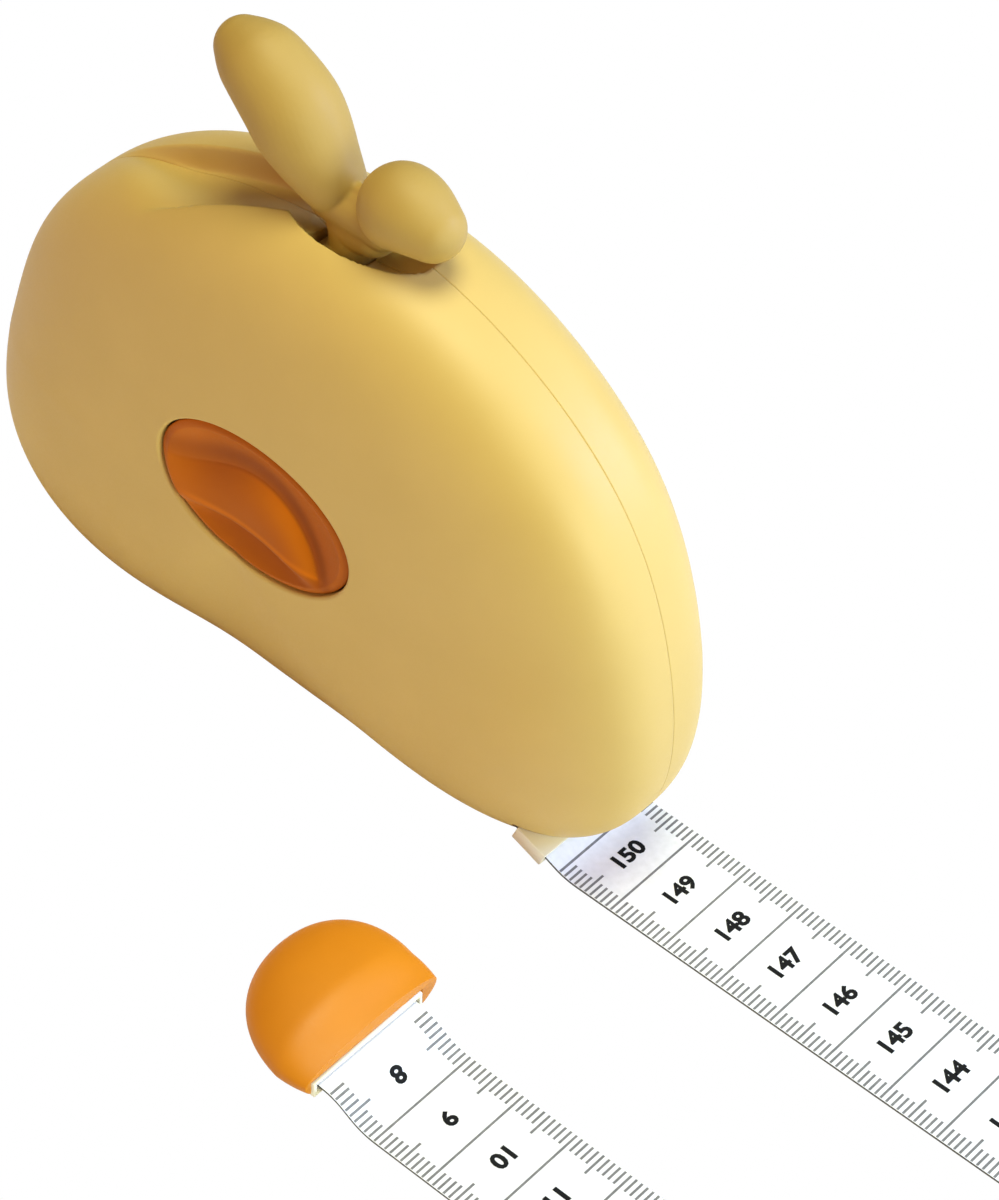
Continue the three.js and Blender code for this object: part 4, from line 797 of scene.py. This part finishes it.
def tab_egg():
    """The whole egg, before it is cut"""
    lat = (math.pi * np.arange(1, TAB_RINGS) / TAB_RINGS)[:, None]
    turn = 2 * math.pi * np.arange(TAB_AROUND) / TAB_AROUND
    x = -np.cos(lat)
    at_back = np.maximum(1 - np.abs(x) ** TAB["blunt"], 0) ** (1 / TAB["round"])
    wide = np.where(x < 0, at_back, np.sin(lat))
    x = x * np.where(x < 0, TAB["back"], 1)
    x, y, z = np.broadcast_arrays(x, wide * np.cos(turn), wide * np.sin(turn))
    lower = ease(np.clip((x - TAB_FALL["from"]) / TAB_FALL["over"], 0, 1))
    fall = 1 - TAB["fall"] * lower * (z > 0)
    rings = np.stack([TAB["x"] + TAB["a"] * x,
                      TAB["y"] + TAB["b"] * y + TAB["skew"] * np.maximum(-x, 0),
                      TAB["h"] * (1 + z * fall)], -1)
    tips = [(TAB["x"] - TAB["a"] * TAB["back"], TAB["y"] + TAB["skew"] * TAB["back"], TAB["h"]),
            (TAB["x"] + TAB["a"], TAB["y"], TAB["h"])]
    verts = np.vstack([rings.reshape(-1, 3), tips])
    faces = grid_faces(TAB_RINGS - 1, TAB_AROUND)
    faces += cap_faces(len(verts) - 2, len(verts) - 1, TAB_RINGS - 1, TAB_AROUND)
    return make_mesh("tab_dome", verts, faces)


def tab():
    clear, wide = LINER["clear"], POCKET["half_width"]
    dome = cut(tab_egg(), [
        block(TAB_MOUTH, **PAST_TAB, z1=ABOVE_TAB, name="front"),
        block(0, **PAST_TAB, z1=TAB["foot"], name="under"),
        tab_block("liner_room", TAB_MOUTH - TAB_DEPTH - clear, TAB_MOUTH + TAB_DEPTH,
                  LINER["half_width"] + clear, LINER["half_height"] + clear),
        tab_block("pocket", POCKET["from"], TAB_MOUTH, wide, POCKET["half_height"]),
        cylinder("pin_room", (TAB_PIN["x"], TAB_TAPE_Z), TAB_PIN["radius"],
                 TAB_Y - wide, TAB_Y + wide),
    ])
    liner = tab_block("tab_lip", TAB_MOUTH - TAB_DEPTH, TAB_MOUTH + LINER["proud"],
                      LINER["half_width"], LINER["half_height"])
    cut(liner, [tab_block("gap", 0, PAST_TAB["x1"], LINER_GAP["half_width"],
                          LINER_GAP["half_height"])])
    return (softened(dome, SOFT_EDGES["dome"], angle=35),
            softened(liner, SOFT_EDGES["liner"], segments=2))


# Materials
GRAIN = {"cloud": 60.0, "cloud_detail": 3.0, "fine": 1000.0 / 0.35, "fine_detail": 2.0,
         "strength": 0.25, "depth": 0.012}
ROUGH_LESS, ROUGH_MORE = 0.04, 0.05
CAP_LOOK = {"grain": 2800.0, "middle": 0.45, "smooth": 0.44, "rough": 0.52, "spec": 0.1,
            "bump": 0.25}
METAL_LOOK = {"grain": 3000.0, "swirl": 0.4, "less": 0.06, "more": 0.08, "bump": 0.2}
GRAIN_DEPTH = 0.01


def srgb(r, g, b):
    def lin(c):
        c = c / 255
        return c / 12.92 if c <= 0.04045 else ((c + 0.055) / 1.055) ** 2.4
    return (lin(r), lin(g), lin(b), 1.0)


def new_material(name):
    mat = bpy.data.materials.new(name)
    mat.use_nodes = True
    tree = mat.node_tree
    return mat, tree, tree.nodes["Principled BSDF"]


def plug(tree, socket, value):
    """Links the value if it is another node's output, or else sets it"""
    if isinstance(value, bpy.types.NodeSocket):
        tree.links.new(value, socket)
    else:
        socket.default_value = value


def node(tree, kind, inputs=None, **props):
    made = tree.nodes.new(kind)
    for key, value in props.items():
        setattr(made, key, value)
    for key, value in (inputs or {}).items():
        plug(tree, made.inputs[key], value)
    return made


def math_node(tree, op, a, b=0.0):
    return node(tree, "ShaderNodeMath", {0: a, 1: b}, operation=op).outputs[0]


def grain(tree, scale, detail, distortion=0.0):
    coords = node(tree, "ShaderNodeTexCoord")
    noise = node(tree, "ShaderNodeTexNoise", {
        "Vector": coords.outputs["Object"], "Scale": scale, "Detail": detail,
        "Distortion": distortion})
    return noise.outputs["Fac"]


def ramp(tree, value, low, high, start=0.3, end=0.7):
    made = node(tree, "ShaderNodeMapRange", {"Value": value, "From Min": start, "From Max": end,
                                             "To Min": low, "To Max": high})
    return made.outputs["Result"]


def mix(tree, fac, a, b):
    made = node(tree, "ShaderNodeMix", data_type="RGBA")
    for key, value in (("Factor", fac), ("A", a), ("B", b)):
        plug(tree, next(i for i in made.inputs if i.name == key and i.enabled), value)
    return next(o for o in made.outputs if o.enabled)


def bump(tree, bsdf, height, strength, distance):
    made = node(tree, "ShaderNodeBump", {"Height": height, "Strength": strength,
                                         "Distance": distance})
    tree.links.new(made.outputs["Normal"], bsdf.inputs["Normal"])


def plastic(name, colour, shade, rough, spec=0.4):
    """Moulded plastic: a faint cloud between two shades, and a fine grain"""
    mat, tree, bsdf = new_material(name)
    cloud = grain(tree, GRAIN["cloud"], GRAIN["cloud_detail"])
    fine = grain(tree, GRAIN["fine"], GRAIN["fine_detail"])
    plug(tree, bsdf.inputs["Base Color"], mix(tree, ramp(tree, cloud, 0.0, 1.0), shade, colour))
    plug(tree, bsdf.inputs["Roughness"], ramp(tree, fine, rough - ROUGH_LESS, rough + ROUGH_MORE))
    bsdf.inputs["Specular IOR Level"].default_value = spec
    bump(tree, bsdf, fine, GRAIN["strength"], GRAIN["depth"] * MM)
    return mat


def button_material(name, painted_shade, middle, lit):
    """Brown-orange plastic with painted light: painted shade in the dish and a painted highlight on
    the tongue
    """
    mat, tree, bsdf = new_material(name)
    fine = grain(tree, CAP_LOOK["grain"], GRAIN["fine_detail"])
    middle_at = CAP_LOOK["middle"]
    painted_light_level = node(tree, "ShaderNodeAttribute", attribute_name="painted_light_level").outputs["Fac"]
    low = mix(tree, ramp(tree, painted_light_level, 0.0, 1.0, 0.0, middle_at), painted_shade, middle)
    painted_colour = mix(tree, ramp(tree, painted_light_level, 0.0, 1.0, middle_at, 1.0), low, lit)
    plug(tree, bsdf.inputs["Base Color"], painted_colour)
    plug(tree, bsdf.inputs["Roughness"], ramp(tree, fine, CAP_LOOK["smooth"], CAP_LOOK["rough"]))
    bsdf.inputs["Specular IOR Level"].default_value = CAP_LOOK["spec"]
    bump(tree, bsdf, fine, CAP_LOOK["bump"], GRAIN_DEPTH * MM)
    return mat


def metal(name, colour, rough):
    mat, tree, bsdf = new_material(name)
    fine = grain(tree, METAL_LOOK["grain"], GRAIN["cloud_detail"], METAL_LOOK["swirl"])
    bsdf.inputs["Base Color"].default_value = colour
    bsdf.inputs["Metallic"].default_value = 1.0
    plug(tree, bsdf.inputs["Roughness"],
         ramp(tree, fine, rough - METAL_LOOK["less"], rough + METAL_LOOK["more"]))
    bump(tree, bsdf, fine, METAL_LOOK["bump"], GRAIN_DEPTH * MM)
    return mat


# Printed lines, in mm: how far apart, how wide and, from each edge of the tape, how long
TICKS = {"every": 1.0, "wide": 0.4, "long": 2.8}
HALVES = {"every": 5.0, "wide": 0.4, "long": 4.2}
WHOLES = {"every": 10.0, "wide": 0.38}
PRINTED_FROM, PRINTED_TO, PRINTED_OFF = 70.6, 1500.4, 9.9
INK_COVERS = 0.92
FACE_SHARE = 0.97  # less than this is the strip's cut edge
CLOTH_LOOK = {"cloud": 900.0, "rough": 0.48, "spec": 0.15, "thread": 0.5, "weave": 0.12}
CLOTH, CLOTH_LIT = srgb(238, 237, 233), srgb(246, 245, 242)
LINE_INK, LINE_INK_LIT = srgb(98, 98, 96), srgb(116, 115, 112)
# The strip's cut edge is coloured dark grey as painted shade
CUT_EDGE_PAINTED_SHADE = srgb(96, 93, 88)


def printed_lines(tree, along, off):
    """1 where a line is printed, from the tape's own measure"""
    away = math_node(tree, "ABSOLUTE", off)

    def line_at(line):
        wrapped = math_node(tree, "PINGPONG", along, line["every"] / 2)
        return math_node(tree, "LESS_THAN", wrapped, line["wide"] / 2)

    def edge_line(line):
        reach = math_node(tree, "GREATER_THAN", away, HALF - line["long"])
        return math_node(tree, "MULTIPLY", line_at(line), reach)

    marks = math_node(tree, "MAXIMUM", edge_line(TICKS), edge_line(HALVES))
    marks = math_node(tree, "MAXIMUM", marks, line_at(WHOLES))
    for limit in (math_node(tree, "LESS_THAN", along, PRINTED_TO),
                  math_node(tree, "GREATER_THAN", along, PRINTED_FROM),
                  math_node(tree, "LESS_THAN", away, PRINTED_OFF)):
        marks = math_node(tree, "MULTIPLY", marks, limit)
    return marks


def tape_material(name):
    """Off-white coated cloth with printed lines, a fine weave and painted shade on its cut edge"""
    mat, tree, bsdf = new_material(name)
    along, off, face = (node(tree, "ShaderNodeAttribute", attribute_name=key).outputs["Fac"]
                        for key in ("printed", "across", "face"))
    cloud = ramp(tree, grain(tree, CLOTH_LOOK["cloud"], GRAIN["cloud_detail"]), 0, 1)
    cover = math_node(tree, "MULTIPLY", printed_lines(tree, along, off), INK_COVERS)
    colour = mix(tree, cover, mix(tree, cloud, CLOTH, CLOTH_LIT),
                 mix(tree, cloud, LINE_INK, LINE_INK_LIT))
    at_cut = math_node(tree, "LESS_THAN", math_node(tree, "ABSOLUTE", face), FACE_SHARE)
    # Painted shade on the strip's cut edge
    plug(tree, bsdf.inputs["Base Color"], mix(tree, at_cut, colour, CUT_EDGE_PAINTED_SHADE))
    bsdf.inputs["Roughness"].default_value = CLOTH_LOOK["rough"]
    bsdf.inputs["Specular IOR Level"].default_value = CLOTH_LOOK["spec"]
    turns = 2 * math.pi / CLOTH_LOOK["thread"]
    threads = [math_node(tree, "SINE", math_node(tree, "MULTIPLY", way, turns))
               for way in (along, off)]
    weave = math_node(tree, "MULTIPLY", *threads)
    bump(tree, bsdf, weave, CLOTH_LOOK["weave"], GRAIN_DEPTH * MM)
    return mat


def dress(obj, mat):
    obj.data.materials.clear()
    obj.data.materials.append(mat)


YELLOW = plastic("case_yellow", srgb(213, 179, 99), srgb(209, 175, 95), 0.5)
# The crest is the case's yellow plastic, made darker here as painted shade
CREST_PAINTED_SHADE_YELLOW = plastic("crest_yellow_painted_shade", srgb(184, 150, 76), srgb(180, 146, 72), 0.55, spec=0.25)
# The button's orange as painted shade, plain and painted light colours
BUTTON_ORANGE = button_material("button_orange", srgb(146, 68, 2), srgb(190, 100, 16),
                                srgb(234, 130, 12))
TAB_ORANGE = plastic("tab_orange", srgb(212, 130, 18), srgb(206, 124, 14), 0.46, spec=0.3)
CREAM = plastic("cream_lip", srgb(244, 234, 208), srgb(240, 228, 200), 0.5)
STEEL = metal("spring_steel", (0.62, 0.63, 0.65, 1), 0.3)
GREY = plastic("inner_grey", srgb(150, 155, 158), srgb(140, 146, 150), 0.5)
RUBBER = plastic("brake_rubber", srgb(48, 48, 48), srgb(40, 40, 40), 0.8)
WHITE = tape_material("tape_white")
INK = plastic("printed_ink", srgb(26, 26, 26), srgb(32, 32, 32), 0.7, spec=0.08)

# The scene's own pieces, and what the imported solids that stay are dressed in
left_case, right_case = cases()
crest_moulding = crest()
button_cap = button()
lip = mouth_lip()
tape_strip = tape()
digits = numbers()
tab_dome, tab_lip = tab()

for obj, mat, body, slot_name, nodes in (
    (left_case, YELLOW, "case", "case_yellow", ("left_shell",)),
    (right_case, YELLOW, "case", "case_yellow", ("right_shell",)),
    (crest_moulding, CREST_PAINTED_SHADE_YELLOW, "crest", "case_yellow", ("crest_lever",)),
    (button_cap, BUTTON_ORANGE, "button", "button_orange", ("side_button",)),
    (lip, CREAM, "case", "cream_lip", ("mouth_guide",)),
    (tape_strip, WHITE, "case", "tape_white", ("tape_case_strip", "tape_roll", "tape_tab_strip")),
    (digits, INK, "case", "tape_white", ()),
    (tab_dome, TAB_ORANGE, "case", "tab_orange", ("tab_shell",)),
    (tab_lip, CREAM, "case", "cream_lip", ("tab_liner",)),
):
    dress(obj, mat)
    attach(obj, body)
    if nodes:
        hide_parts(*nodes)

CAD_LOOKS = {
    STEEL: ("shell_screw_1", "shell_screw_2", "shell_screw_3", "shell_screw_4", "crest_pin",
            "axle_post", "power_spring", "roller_pin", "button_spring", "release_lever",
            "lever_pin", "lever_spring", "tab_pin"),
    GREY: ("drum", "near_flange", "guide_roller", "button_cage"),
    RUBBER: ("brake_shoe",),
    WHITE: ("wound_leader",),
}
for mat, names in CAD_LOOKS.items():
    for name in names:
        dress(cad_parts[name], mat)

# Camera: its place, the directions of the picture's axes, and the focal length in pixels
IMAGE_HEIGHT, FOCAL_PX = 1200, 4070.3
SENSOR = 36
CAMERA_AT = Vector((298.7, -307.7, 459.0)) * MM
RIGHT, UP, BACK = (0.7426, 0.6694, 0.0195), (-0.4933, 0.527, 0.6921), (0.453, -0.5235, 0.7216)

lens = bpy.data.cameras.new("camera")
lens.sensor_fit = "VERTICAL"
lens.sensor_height = lens.sensor_width = SENSOR
lens.lens = FOCAL_PX / IMAGE_HEIGHT * SENSOR
lens.clip_start, lens.clip_end = 0.01, 20
camera = add_object("camera", lens)
camera.matrix_world = (Matrix.Translation(CAMERA_AT)
                       @ Matrix((RIGHT, UP, BACK)).transposed().to_4x4())
bpy.context.scene.camera = camera

# Lights in metres: where, how wide, how strong and what colour. All look at the middle
MIDDLE = Vector((0.05, -0.03, 0.03))
LIGHTS = {
    "key": ((0.70, 0.62, 0.48), 0.42, 11.8, (0.34, 0.46, 1.0)),
    "top": ((0.1, 0.1, 1.1), 0.6, 9.7, (0.953, 1.0, 0.728)),
    "fill": ((-0.5, -0.9, 0.5), 0.9, 3.3, (1.0, 0.507, 0.309)),
    "front": ((0.95, -0.15, 0.35), 0.5, 5.7, (0.887, 1.0, 0.82)),
}
SKY_STRENGTH = 0.1
FLOOR_HALF, FLOOR_Z = 3, -0.0002
FLOOR_WHITE, FLOOR_ROUGH = (0.9, 0.9, 0.9, 1), 0.9
WHITE_LIGHT = (1, 1, 1, 1)


def area_light(name, at, size, power, colour):
    data = bpy.data.lights.new(name, "AREA")
    data.shape = "DISK"
    data.size = size
    data.energy = power
    data.color = colour
    obj = add_object(name, data)
    obj.location = at
    obj.rotation_mode = "QUATERNION"
    obj.rotation_quaternion = (MIDDLE - Vector(at)).to_track_quat("-Z", "Y")


def floor():
    """A pale floor that lights the part as matt white and looks plain white to the camera"""
    mesh = bpy.data.meshes.new("floor")
    corners = [(-FLOOR_HALF, -FLOOR_HALF, 0), (FLOOR_HALF, -FLOOR_HALF, 0),
               (FLOOR_HALF, FLOOR_HALF, 0), (-FLOOR_HALF, FLOOR_HALF, 0)]
    mesh.from_pydata(corners, [], [(0, 1, 2, 3)])
    obj = add_object("floor", mesh)
    obj.location.z = FLOOR_Z
    mat, tree, bsdf = new_material("floor_pale")
    bsdf.inputs["Base Color"].default_value = FLOOR_WHITE
    bsdf.inputs["Roughness"].default_value = FLOOR_ROUGH
    glow = node(tree, "ShaderNodeEmission", {"Color": WHITE_LIGHT, "Strength": 1.0})
    rays = node(tree, "ShaderNodeLightPath")
    seen = node(tree, "ShaderNodeMixShader", {0: rays.outputs["Is Camera Ray"],
                                              1: bsdf.outputs[0], 2: glow.outputs[0]})
    plug(tree, tree.nodes["Material Output"].inputs["Surface"], seen.outputs[0])
    dress(obj, mat)
    return obj


for name, (at, size, power, colour) in LIGHTS.items():
    area_light(name, at, size, power, colour)
floor()

world = bpy.data.worlds.new("world")
bpy.context.scene.world = world
world.use_nodes = True
sky = world.node_tree.nodes["Background"]
sky.inputs["Color"].default_value = WHITE_LIGHT
sky.inputs["Strength"].default_value = SKY_STRENGTH
bpy.context.scene.view_settings.view_transform = "Standard"
